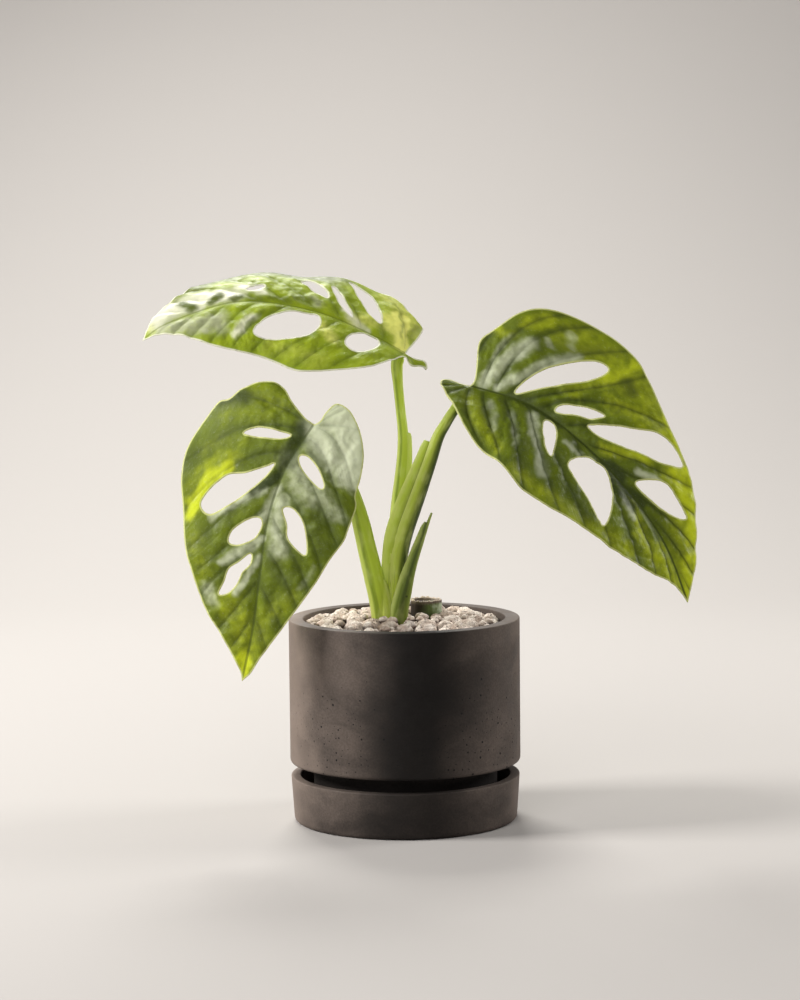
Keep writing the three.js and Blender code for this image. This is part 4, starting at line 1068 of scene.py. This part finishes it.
def stalk_group():
    """Stripes that run up a stalk, pale along both sides, with small specks."""
    tree, given, made = new_group("Stalk stripes", {
        "Light": (0.5, 0.53, 0.085),
        "Green": (0.3, 0.34, 0.05),
        "Dark": (0.1, 0.127, 0.015),
        "Centre": 0.2,
        "Stripe Width": 0.4,
        "Far Edge": 0.45,
    }, ("Color",), ("Height",))
    speck_color = (0.03, 0.025, 0.01)
    place = stored(tree, "stalk_place", "Vector")
    x = parts(tree, place)[0]
    streak = cloud(tree, stretched(tree, place, (2.6, 2.6, 0.02)), 1.0, 4.0, 0.65)
    blotch = cloud(tree, stretched(tree, place, (1.0, 1.0, 0.07)), 1.0, 3.0, 0.5)
    wobble = times(tree, minus(tree, streak, 0.5), 0.5)
    offset = plus(tree, minus(tree, x, given["Centre"]), wobble)
    stripe_edge = plus(tree, given["Stripe Width"], 0.25)
    stripe = ramp(tree, maths(tree, "ABSOLUTE", offset), stripe_edge, 0.05)
    far_edge = times(tree, ramp(tree, x, 0.75, 1.0), given["Far Edge"])
    edge = plus(tree, ramp(tree, x, -0.35, -0.95, 0.0, 0.8), far_edge)
    color = blended(tree, stripe, given["Green"], given["Dark"])
    color = blended(tree, edge, color, given["Light"])
    color = blended(tree, ramp(tree, blotch, 0.45, 0.7, 0.0, 0.4), color, given["Light"])
    color = blended(tree, ramp(tree, streak, 0.55, 0.7, 0.0, 0.25), color, given["Dark"])
    way, chances = cells_and_chances(tree, object_place(tree), 110.0)
    speck = times(tree, ramp(tree, way, 0.09, 0.04), maths(tree, "LESS_THAN", chances[0], 0.3))
    color = blended(tree, times(tree, speck, 0.7), color, speck_color)
    feed(tree, made["Color"], color)
    feed(tree, made["Height"], streak)
    return tree


def stalk_material(name, group, colors, centre, stripe_width, far_edge=0.45):
    """colors are the light sides, the green between them and the dark stripe, in this order."""
    material, tree = new_material(name)
    light, green, dark = colors
    made = placed(tree, group, {
        "Light": light,
        "Green": green,
        "Dark": dark,
        "Centre": centre,
        "Stripe Width": stripe_width,
        "Far Edge": far_edge,
    })
    surface = surface_shader(tree, made["Color"], 0.42, made["Height"], 0.0005)
    output_shader(tree, lit_through(tree, surface, made["Color"], 0.3))
    return material


def cut_stem_material():
    """Dead brown on the left that turns to green and then to a pale side on the right, a painted highlight,
    with a dry cut top.
    """
    green = (0.09, 0.13, 0.03)
    mint = (0.42, 0.48, 0.34)
    torn_rim = (0.55, 0.45, 0.35)
    material, tree = new_material("old_stem")
    place = object_place(tree)
    x, _, z = parts(tree, place)
    streak = cloud(tree, stretched(tree, place, (420.0, 420.0, 60.0)), 1.0, 4.0, 0.65)
    blotch = cloud(tree, place, 150.0, 4.0, 0.6)
    drift = times(tree, minus(tree, blotch, 0.5), 0.012)
    shift = plus(tree, minus(tree, x, OLD_STEM["x"] * MM), drift)
    high = plus(tree, z, times(tree, drift, 0.12))
    brown = blended(tree, streak, (0.01, 0.007, 0.005), (0.05, 0.033, 0.022))
    dry = blended(tree, streak, (0.05, 0.035, 0.025), (0.17, 0.125, 0.09))
    color = blended(tree, ramp(tree, shift, -0.003, 0.004), brown, green)
    # Painted highlight: the pale side on the right
    color = blended(tree, ramp(tree, shift, 0.003, 0.0075), color, mint)
    color = blended(tree, ramp(tree, high, 0.1118, 0.1138), color, dry)
    color = blended(tree, ramp(tree, high, 0.1138, 0.1146), color, torn_rim)
    output_shader(tree, surface_shader(tree, color, 0.7, streak, 0.0006, 0.3))
    return material


# Sizes and colours that a user would change
def length_property(name, description, default):
    return bpy.props.FloatProperty(name=name, description=description, default=default, unit="LENGTH",
                                   precision=5)


def angle_property(name, description, default):
    return bpy.props.FloatProperty(name=name, description=description, default=default, subtype="ANGLE")


def power_property(side, default):
    return bpy.props.FloatProperty(name=f"{side} light", description=f"Power of the {side.lower()} light",
                                   default=default, unit="POWER")


def color_property(name, description, default):
    return bpy.props.FloatVectorProperty(name=name, description=description, default=default,
                                         subtype="COLOR", min=0, max=1)


class VinePotSizes(bpy.types.PropertyGroup):
    """Sizes and colours of the pot and the saucer"""
    radius: length_property("Radius", "Outside radius of the pot", POT_BOX[1].x)
    wall: length_property("Wall", "Thickness of the pot's wall", 0.0077)
    rim_height: length_property("Rim height", "Top of the pot above the floor", POT_BOX[1].z)
    underside: length_property("Underside", "Bottom of the pot's wide body above the floor", 0.0307)
    foot_radius: length_property("Foot radius", "Outside radius of the pot's foot", 0.0478)
    foot_height: length_property("Foot height", "Bottom of the foot above the floor", POT_BOX[0].z)
    drain_radius: length_property("Drain radius", "Radius of the hole in the pot's floor", 0.006)
    floor: length_property("Floor", "Thickness of the pot's floor", 0.0075)
    saucer_radius: length_property("Saucer radius", "Outside radius of the saucer's rim", SAUCER_BOX[1].x)
    saucer_wall: length_property("Saucer wall", "Thickness of the saucer's wall", 0.0051)
    saucer_height: length_property("Saucer height", "Height of the saucer", SAUCER_BOX[1].z)
    saucer_floor: length_property("Saucer floor", "Thickness of the saucer's floor", 0.0063)
    sides: bpy.props.IntProperty(name="Sides", description="Facets round the pot", default=192, min=24)
    dark: color_property("Dark", "Darker colour of the concrete", (0.05, 0.039, 0.033))
    light: color_property("Light", "Lighter colour of the concrete", (0.12, 0.094, 0.079))


class VinePumiceLook(bpy.types.PropertyGroup):
    """Sizes and colours of the pumice"""
    smallest: length_property("Smallest", "Radius of the smallest lumps apart from the fillers", 0.0036)
    largest: length_property("Largest", "Radius of the largest lumps", 0.0063)
    top: length_property("Top", "Height of the pumice's surface at the wall", 0.1030)
    mound: length_property("Mound", "How much higher the pumice is in the middle", 0.006)
    seed: bpy.props.IntProperty(name="Seed", description="Picks another pile", default=5)
    light: color_property("Light", "Main colour of the lumps", (0.95, 0.86, 0.77))
    shade: color_property("Shade", "Darker colour of the lumps", (0.54, 0.43, 0.36))


class VineLeafLook(bpy.types.PropertyGroup):
    """Sizes and colours of the leaves"""
    thickness: length_property("Thickness", "Thickness of a blade away from its edge", 0.0007)
    mesh_spacing: length_property("Mesh spacing", "Distance between the points of a blade", 0.0009)
    vein_depth: length_property("Vein depth", "Depth of the side veins", 0.00025)
    pucker: length_property("Pucker", "Height of the puckers between veins", 0.00045)
    green: color_property("Green", "Main green of the lower leaves", (0.097, 0.131, 0.013))
    fresh: color_property("Fresh", "Fresher green of the lower leaves", (0.17, 0.225, 0.004))
    # Lime is painted light that comes through the blades; mint is in part a painted sheen, deep in part
    # painted shade
    lime: color_property("Lime", "Brightest green where light comes through", (0.68, 0.76, 0.02))
    deep: color_property("Deep", "Darkest green", (0.035, 0.052, 0.01))
    mint: color_property("Mint", "Pale mint of the patches", (0.72, 0.76, 0.56))
    rim: color_property("Rim", "Thin edge of the blades and of their holes", (0.7, 0.72, 0.3))
    pale_green: color_property("Pale green", "Main green of the top leaf", (0.22, 0.3, 0.012))
    pale_fresh: color_property("Pale fresh", "Fresher green of the top leaf", (0.38, 0.48, 0.015))
    # Pale lime is in part painted light that comes through the blade, pale mint in part painted glare
    pale_lime: color_property("Pale lime", "Brightest green of the top leaf", (0.95, 0.95, 0.25))
    pale_mint: color_property("Pale mint", "Near-white of the top leaf's patches", (0.84, 0.84, 0.68))


class VineStalkLook(bpy.types.PropertyGroup):
    """Colours of the stalks"""
    light: color_property("Light", "Pale sides of the stalks", (0.8, 0.86, 0.28))
    green: color_property("Green", "Main green of the stalks", (0.57, 0.7, 0.06))
    dark: color_property("Dark", "Stripe along the left and the top stalk", (0.3, 0.4, 0.03))
    shaded: color_property("Shaded", "Right side of the right stalk and its sheath", (0.055, 0.085, 0.008))
    spear_light: color_property("Spear light", "Pale sides of the rolled leaf", (0.6, 0.66, 0.2))
    spear_green: color_property("Spear green", "Main green of the rolled leaf", (0.22, 0.3, 0.03))
    spear_dark: color_property("Spear dark", "Stripe along the rolled leaf", (0.09, 0.13, 0.016))


class VineStageLook(bpy.types.PropertyGroup):
    """The camera, the lights and the floor"""
    camera_place: bpy.props.FloatVectorProperty(
        name="Camera", description="Where the camera stands", default=(-0.001552, -1.52554, 0.317449),
        subtype="TRANSLATION", unit="LENGTH", precision=5)
    pitch: angle_property("Pitch", "How far the camera looks down", 0.098436)
    roll: angle_property("Roll", "How far the camera leans", -0.009638)
    lens: bpy.props.FloatProperty(name="Lens", description="Focal length in millimetres", default=106.61)
    floor: color_property("Floor", "Colour of the floor and backdrop", (0.42, 0.4, 0.385))
    left_light: power_property("Left", 26)
    right_light: power_property("Right", 10)
    back_light: power_property("Back", 23)
    front_light: power_property("Front", 13)


# Operators
class VINE_OT_pot(bpy.types.Operator):
    """Makes the pot and the saucer in cast concrete"""
    bl_idname = "vine.pot"
    bl_label = "Pot and saucer"

    def execute(self, context):
        sizes = context.scene.vine_pot
        group = concrete_group()
        # Both finishes paint shade on their front, partly dark mottling; the pot's also paints shade on its
        # foot
        cast = concrete_material("pot_concrete", group, sizes, pinhole_top=0.086, pinhole_share=0.75,
                                 front_shade_and_mottling=0.95, foot_shade=0.85)
        points, faces = turned(self.pot_profile(sizes), sizes.sides)
        pot = add_mesh("cast_pot", points, faces, cast)
        hand_in(pot, "pot_concrete", "pot")
        plain = concrete_material("saucer_concrete", group, sizes, pinhole_top=0.02, pinhole_share=0.12,
                                  front_shade_and_mottling=0.8, foot_shade=0.0)
        points, faces = turned(self.saucer_profile(sizes), sizes.sides)
        saucer = add_mesh("cast_saucer", points, faces, plain)
        hand_in(saucer, "saucer_concrete", "saucer")
        return {"FINISHED"}

    def pot_profile(self, sizes):
        """The wall with its narrower foot, up to the rim and down to the drain hole."""
        radius = sizes.radius / MM
        inner = radius - sizes.wall / MM
        foot = sizes.foot_radius / MM
        well = foot - sizes.wall / MM
        bottom = sizes.foot_height / MM
        under = sizes.underside / MM
        top = sizes.rim_height / MM
        floor = sizes.floor / MM
        drain = sizes.drain_radius / MM
        slope = 4
        return rounded([
            (drain, bottom, 0.4),
            (foot, bottom, 1.2),
            (foot, under, 0.6),
            (radius, under, 2.2),
            (radius, top, 0.8),
            (inner, top, 0.9),
            (inner, under + floor + slope, 1.5),
            (well, under + floor, 1.5),
            (well, bottom + floor, 1.0),
            (drain, bottom + floor, 0.6),
        ])

    def saucer_profile(self, sizes):
        """A round tray whose wall leans out a little."""
        radius = sizes.saucer_radius / MM
        base = radius - 1.6
        inner = radius - sizes.saucer_wall / MM
        top = sizes.saucer_height / MM
        floor = sizes.saucer_floor / MM
        return rounded([
            (0, 0, 0),
            (base, 0, 2.6),
            (radius, top, 0.9),
            (inner, top, 0.8),
            (inner - 0.8, floor, 1.6),
            (0, floor, 0),
        ])


class VINE_OT_soil(bpy.types.Operator):
    """Gives the potting mix and the buried crown their finish"""
    bl_idname = "vine.soil"
    bl_label = "Potting mix and crown"

    def execute(self, context):
        for node, material in (("potting_mix", soil_material()), ("crown", crown_material())):
            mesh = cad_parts[node].data
            mesh.materials.clear()
            mesh.materials.append(material)
        return {"FINISHED"}


class VINE_OT_pumice(bpy.types.Operator):
    """Pours lumps of pumice round the stems, each of its own shape"""
    bl_idname = "vine.pumice"
    bl_label = "Pumice"

    tries = 14
    patience = 60
    most_lumps = 560
    overlap = 0.95
    wall_gap = 0.4
    stems = ((-8.8, -9.6, 6.0), (-3.6, -12.4, 5.6), (OLD_STEM["x"], OLD_STEM["y"], OLD_STEM["radius"]))
    sharpness = 24
    cuts = 9
    coarse, fine, finest = 1, 3, 4
    finest_from = 3.4

    def execute(self, context):
        look = context.scene.vine_pumice
        pot = context.scene.vine_pot
        field = (pot.radius - pot.wall) / MM - self.wall_gap
        spheres = {level: self.sphere(level) for level in (self.coarse, self.fine, self.finest)}
        points = []
        faces = []
        tones = []
        heights = []
        dice = random.Random(look.seed + 1)
        start = 0
        for x, y, z, radius, covered in self.poured(look, field):
            level = self.finest if radius > self.finest_from else self.fine
            directions, triangles = spheres[self.coarse if covered else level]
            shape = self.lump(directions, radius, dice) + np.array((x, y, z))
            points.append(shape)
            faces += [(a + start, b + start, c + start) for a, b, c in triangles]
            start += len(shape)
            tones += [dice.random() ** 2] * len(shape)
            heights += list((shape[:, 2] - z) / radius)
        piece = add_mesh("pumice_lumps", np.vstack(points), faces, pumice_material(look))
        store(piece, "tone", tones)
        store(piece, "height_on_lump", heights)
        hand_in(piece, "pumice", "pumice_topping")
        return {"FINISHED"}

    def sphere(self, level):
        """Points and triangles of an even ball."""
        ball = bmesh.new()
        bmesh.ops.create_icosphere(ball, subdivisions=level, radius=1)
        directions = np.array([tuple(v.co) for v in ball.verts])
        triangles = [tuple(v.index for v in face.verts) for face in ball.faces]
        ball.free()
        return directions, triangles

    def lump(self, directions, radius, dice):
        """A rounded angular shape: a ball cut by soft planes, then roughened."""
        total = np.ones(len(directions)) * 0.9**-self.sharpness * 0.35
        for _ in range(self.cuts):
            normal = np.array([dice.gauss(0, 1) for _ in range(3)])
            normal /= np.linalg.norm(normal)
            reach = dice.uniform(0.74, 1.0)
            total += (np.maximum(directions @ normal, 0) / reach) ** self.sharpness
        size = total ** (-1 / self.sharpness)
        shift = Vector((dice.uniform(0, 90), dice.uniform(0, 90), dice.uniform(0, 90)))
        roughness = np.zeros(len(directions))
        for scale, height in ((2.2, 0.14), (6, 0.08), (13, 0.05)):
            roughness += [noise.noise(Vector(d) * scale + shift) * height for d in directions]
        size = radius * (size / size.mean()) * (1 + roughness)
        stretch = np.array((dice.uniform(0.95, 1.2), dice.uniform(0.85, 1.0), dice.uniform(0.8, 0.95)))
        spin = Matrix.Rotation(dice.uniform(0, 2 * math.pi), 3, "Z")
        tilt = Matrix.Rotation(dice.uniform(-0.5, 0.5), 3, "X")
        return (directions * size[:, None] * stretch) @ np.array(spin @ tilt).T

    def poured(self, look, field):
        """Lumps dropped one by one: large ones until no more find a place, then small fillers. Each is given
        as x, y, z, radius and whether others lie on it."""
        dice = random.Random(look.seed)
        smallest, largest = look.smallest / MM, look.largest / MM
        pile = np.zeros((0, 4))
        filling = False
        fails = 0
        while len(pile) < self.most_lumps:
            radius = smallest + (largest - smallest) * dice.random() ** 0.8
            if filling:
                radius = smallest * dice.uniform(0.6, 1)
            place = self.lowest_place(look, field, radius, pile, dice)
            if place is not None:
                pile = np.vstack([pile, place])
                fails = 0
                continue
            fails += 1
            if fails == self.patience:
                if filling:
                    break
                filling = True
                fails = 0
        lumps = []
        for x, y, z, radius in pile:
            apart = np.hypot(pile[:, 0] - x, pile[:, 1] - y)
            above = (pile[:, 2] > z + 0.4 * radius) & (apart < radius + 0.6 * pile[:, 3])
            lumps.append((x, y, z, radius, above.sum() >= 3))
        return lumps

    def lowest_place(self, look, field, radius, pile, dice):
        """The lowest of a few places where a lump comes to lie, or None where all are above the surface."""
        best = None
        for _ in range(self.tries):
            way = (field - radius) * math.sqrt(dice.random())
            angle = dice.uniform(0, 2 * math.pi)
            x, y = way * math.cos(angle), way * math.sin(angle)
            if any(math.hypot(x - sx, y - sy) < size + 0.8 * radius for sx, sy, size in self.stems):
                continue
            z = MIX_TOP + 0.4 + 0.9 * radius
            apart = np.hypot(pile[:, 0] - x, pile[:, 1] - y)
            reach = self.overlap * (pile[:, 3] + radius)
            near = apart < reach
            if near.any():
                z = max(z, (pile[near, 2] + np.sqrt(reach[near] ** 2 - apart[near] ** 2)).max())
            surface = look.mound / MM * math.cos(math.pi / 2 * min(1, way / field)) + look.top / MM
            if z + 0.55 * radius < surface + 0.6 and (best is None or z < best[2]):
                best = (x, y, z, radius)
        return best


class VINE_OT_stalks(bpy.types.Operator):
    """Makes the three stalks with their sheaths, the rolled newest leaf and the old cut stem"""
    bl_idname = "vine.stalks"
    bl_label = "Stalks and stems"

    def execute(self, context):
        look = context.scene.vine_stalks
        group = stalk_group()
        plain_colors = (look.light, look.green, look.dark)
        shaded_colors = (look.light, look.green, look.shaded)
        spear_colors = (look.spear_light, look.spear_green, look.spear_dark)
        stalk = stalk_material("stalk", group, plain_colors, -0.35, 0.12)
        shaded = stalk_material("stalk_shaded", group, shaded_colors, 0.75, 0.95, 0.0)
        rolled = stalk_material("spear", group, spear_colors, 0.15, 0.35)
        self.make_stalk("petiole_left", (LEFT_STALK, LEFT_SHEATH), "stalk_left", "stalk", stalk)
        self.make_stalk("petiole_right", (RIGHT_STALK, RIGHT_SHEATH), "stalk_right", "stalk", shaded, 2)
        self.make_stalk("petiole_top", (TOP_STALK, TOP_SHEATH), "stalk_top", "stalk", stalk)
        self.make_stalk("rolled_leaf", (SPEAR, SPEAR_TIP), "spear", "spear", rolled)
        self.make_stub()
        return {"FINISHED"}

    def make_stalk(self, name, lofts, node, slot, material, striped=1):
        """Fuses the bodies. Only the first ones, as many as striped, have stripes of their own."""
        piece = fused(name, [ribbed_loft(stations) for stations in lofts], material)
        stalk_places(piece, lofts[:striped])
        hand_in(piece, slot, node)

    def make_stub(self):
        """A short tube, dished at the cut, with a torn dry rim."""
        stem = OLD_STEM
        radius, bottom, top = stem["radius"], stem["bottom"], stem["top"]
        profile = [(0, bottom), (radius - 0.6, bottom), (radius, bottom + 0.6)]
        profile += [(radius, z) for z in np.linspace(80, top - 0.4, 40)]
        profile += [(radius - 0.25, top), (radius - 0.7, top + 0.15), (radius - 1.3, top - 0.5)]
        profile += [(r, top - stem["dish"] - 0.05 * (radius - r)) for r in np.linspace(radius - 2, 0, 9)]
        points, faces = turned(profile, sides=120)
        points = np.array(points, float)
        angle = np.arctan2(points[:, 1], points[:, 0])
        reach = np.hypot(points[:, 0], points[:, 1])
        circle = np.column_stack([np.cos(angle), np.sin(angle)])
        tear = 1.0 * rough(circle, 3.5, 4) + 0.7 * rough(circle, 11, 9)
        at_rim = smooth(top - 1.0, top - 0.2, points[:, 2]) * smooth(radius - 1.8, radius - 0.9, reach)
        points[:, 2] += at_rim * tear
        bumps = [noise.noise(Vector((x * 0.5, y * 0.5, z * 0.16))) for x, y, z in points]
        grow = 1 + (0.025 * np.array(bumps) + 0.006 * np.cos(21 * angle)) * (reach > 0.5 * radius)
        points[:, :2] *= grow[:, None]
        points[:, :2] += (stem["x"], stem["y"])
        piece = add_mesh("cut_stem", points, faces, cut_stem_material())
        hand_in(piece, "old_stem", "old_stem")


class VINE_OT_leaves(bpy.types.Operator):
    """Makes the three pierced leaves"""
    bl_idname = "vine.leaves"
    bl_label = "Leaves"

    def execute(self, context):
        look = context.scene.vine_leaves
        group = leaf_group()
        green = leaf_material("leaf", group, {
            "Green": look.green,
            "Fresh": look.fresh,
            "Lime": look.lime,
            "Deep": look.deep,
            "Mint": look.mint,
            "Rim": look.rim,
        })
        pale = leaf_material("pale_leaf", group, {
            "Green": look.pale_green,
            "Fresh": look.pale_fresh,
            "Lime": look.pale_lime,
            "Deep": look.green,
            "Mint": look.pale_mint,
            "Rim": look.pale_mint,
        })
        for name, leaf, node, slot, material in (
            ("blade_left", LEFT_LEAF, "leaf_left", "leaf", green),
            ("blade_right", RIGHT_LEAF, "leaf_right", "leaf", green),
            ("blade_top", TOP_LEAF, "leaf_top", "pale_leaf", pale),
        ):
            hand_in(make_blade(name, leaf, look, material), slot, node)
        return {"FINISHED"}


class VINE_OT_stage(bpy.types.Operator):
    """Makes the floor, the lights and the camera"""
    bl_idname = "vine.stage"
    bl_label = "Stage"

    def execute(self, context):
        look = context.scene.vine_stage
        self.make_floor(look)
        self.make_lights(context, look)
        self.make_camera(context, look)
        context.scene.view_settings.view_transform = "Standard"
        return {"FINISHED"}

    def make_floor(self, look):
        """A floor that bends up into the backdrop."""
        material, tree = new_material("studio_floor")
        output_shader(tree, put(tree, "ShaderNodeBsdfPrincipled", {
            "Base Color": look.floor,
            "Roughness": 0.9,
            "Specular IOR Level": 0.1,
        })[0])
        half_width, front, wall, bend, height, gap = 5000, -3000, 1500, 700, 4000, 0.05
        profile = [(front, 0)]
        for angle in np.linspace(0, 90, 17) * DEG:
            profile.append((wall - bend + bend * math.sin(angle), bend - bend * math.cos(angle)))
        profile.append((wall, height))
        points = [(x, y, z - gap) for y, z in profile for x in (-half_width, half_width)]
        faces = [(2 * i, 2 * i + 1, 2 * i + 3, 2 * i + 2) for i in range(len(profile) - 1)]
        add_mesh("studio_floor", points, faces, material)

    def make_lights(self, context, look):
        """Four soft lights that face the plant, each with its place, size and colour."""
        target = Vector((0, 0, 0.14))
        for side, place, size, color in (
            ("left", (-1.25, -0.2, 0.85), 0.45, (1.0, 0.98, 0.95)),
            ("right", (1.2, 0.3, 0.65), 0.5, (1.0, 0.98, 0.96)),
            ("back", (-0.2, 1.0, 1.15), 0.6, (1.0, 0.99, 0.95)),
            ("front", (-0.5, -1.5, 1.1), 1.0, (1.0, 0.99, 0.98)),
        ):
            name = f"{side}_light"
            data = bpy.data.lights.new(name, "AREA")
            data.size = size
            data.energy = getattr(look, name)
            data.color = color
            lamp = bpy.data.objects.new(name, data)
            lamp.location = place
            lamp.rotation_euler = (target - Vector(place)).to_track_quat("-Z", "Y").to_euler()
            context.scene.collection.objects.link(lamp)
        world = bpy.data.worlds.new("studio")
        world.use_nodes = True
        backdrop = world.node_tree.nodes["Background"].inputs
        backdrop["Color"].default_value = (1.0, 0.985, 0.97, 1)
        backdrop["Strength"].default_value = 0.13
        context.scene.world = world

    def make_camera(self, context, look):
        data = bpy.data.cameras.new("camera")
        data.lens = look.lens
        data.sensor_width = 36
        data.dof.use_dof = False
        data.clip_end = 20
        camera = bpy.data.objects.new("camera", data)
        turn = Matrix.Rotation(math.pi / 2 - look.pitch, 4, "X") @ Matrix.Rotation(look.roll, 4, "Z")
        camera.matrix_world = Matrix.Translation(Vector(look.camera_place)) @ turn
        context.scene.collection.objects.link(camera)
        context.scene.camera = camera


class VINE_PT_panel(bpy.types.Panel):
    """Lists the pieces of the potted vine with their sizes and colours"""
    bl_idname = "VINE_PT_panel"
    bl_label = "Potted vine"
    bl_space_type = "VIEW_3D"
    bl_region_type = "UI"
    bl_category = "Vine"

    def draw(self, context):
        scene = context.scene
        for operator, settings in (
            ("vine.pot", scene.vine_pot),
            ("vine.soil", None),
            ("vine.pumice", scene.vine_pumice),
            ("vine.stalks", scene.vine_stalks),
            ("vine.leaves", scene.vine_leaves),
            ("vine.stage", scene.vine_stage),
        ):
            box = self.layout.box()
            box.operator(operator)
            if settings:
                for name in settings.bl_rna.properties.keys():
                    if name not in ("rna_type", "name"):
                        box.prop(settings, name)


SETTINGS = {
    "vine_pot": VinePotSizes,
    "vine_pumice": VinePumiceLook,
    "vine_leaves": VineLeafLook,
    "vine_stalks": VineStalkLook,
    "vine_stage": VineStageLook,
}
OPERATORS = (VINE_OT_pot, VINE_OT_soil, VINE_OT_pumice, VINE_OT_stalks, VINE_OT_leaves, VINE_OT_stage)


def register():
    for kind in (*SETTINGS.values(), *OPERATORS, VINE_PT_panel):
        bpy.utils.register_class(kind)
    for name, kind in SETTINGS.items():
        setattr(bpy.types.Scene, name, bpy.props.PointerProperty(type=kind))


def unregister():
    for name in SETTINGS:
        delattr(bpy.types.Scene, name)
    for kind in (VINE_PT_panel, *OPERATORS, *SETTINGS.values()):
        bpy.utils.unregister_class(kind)


def main():
    register()
    bpy.ops.vine.pot()
    bpy.ops.vine.soil()
    bpy.ops.vine.pumice()
    bpy.ops.vine.stalks()
    bpy.ops.vine.leaves()
    bpy.ops.vine.stage()
    bpy.context.view_layer.update()


if __name__ == "__main__":
    main()
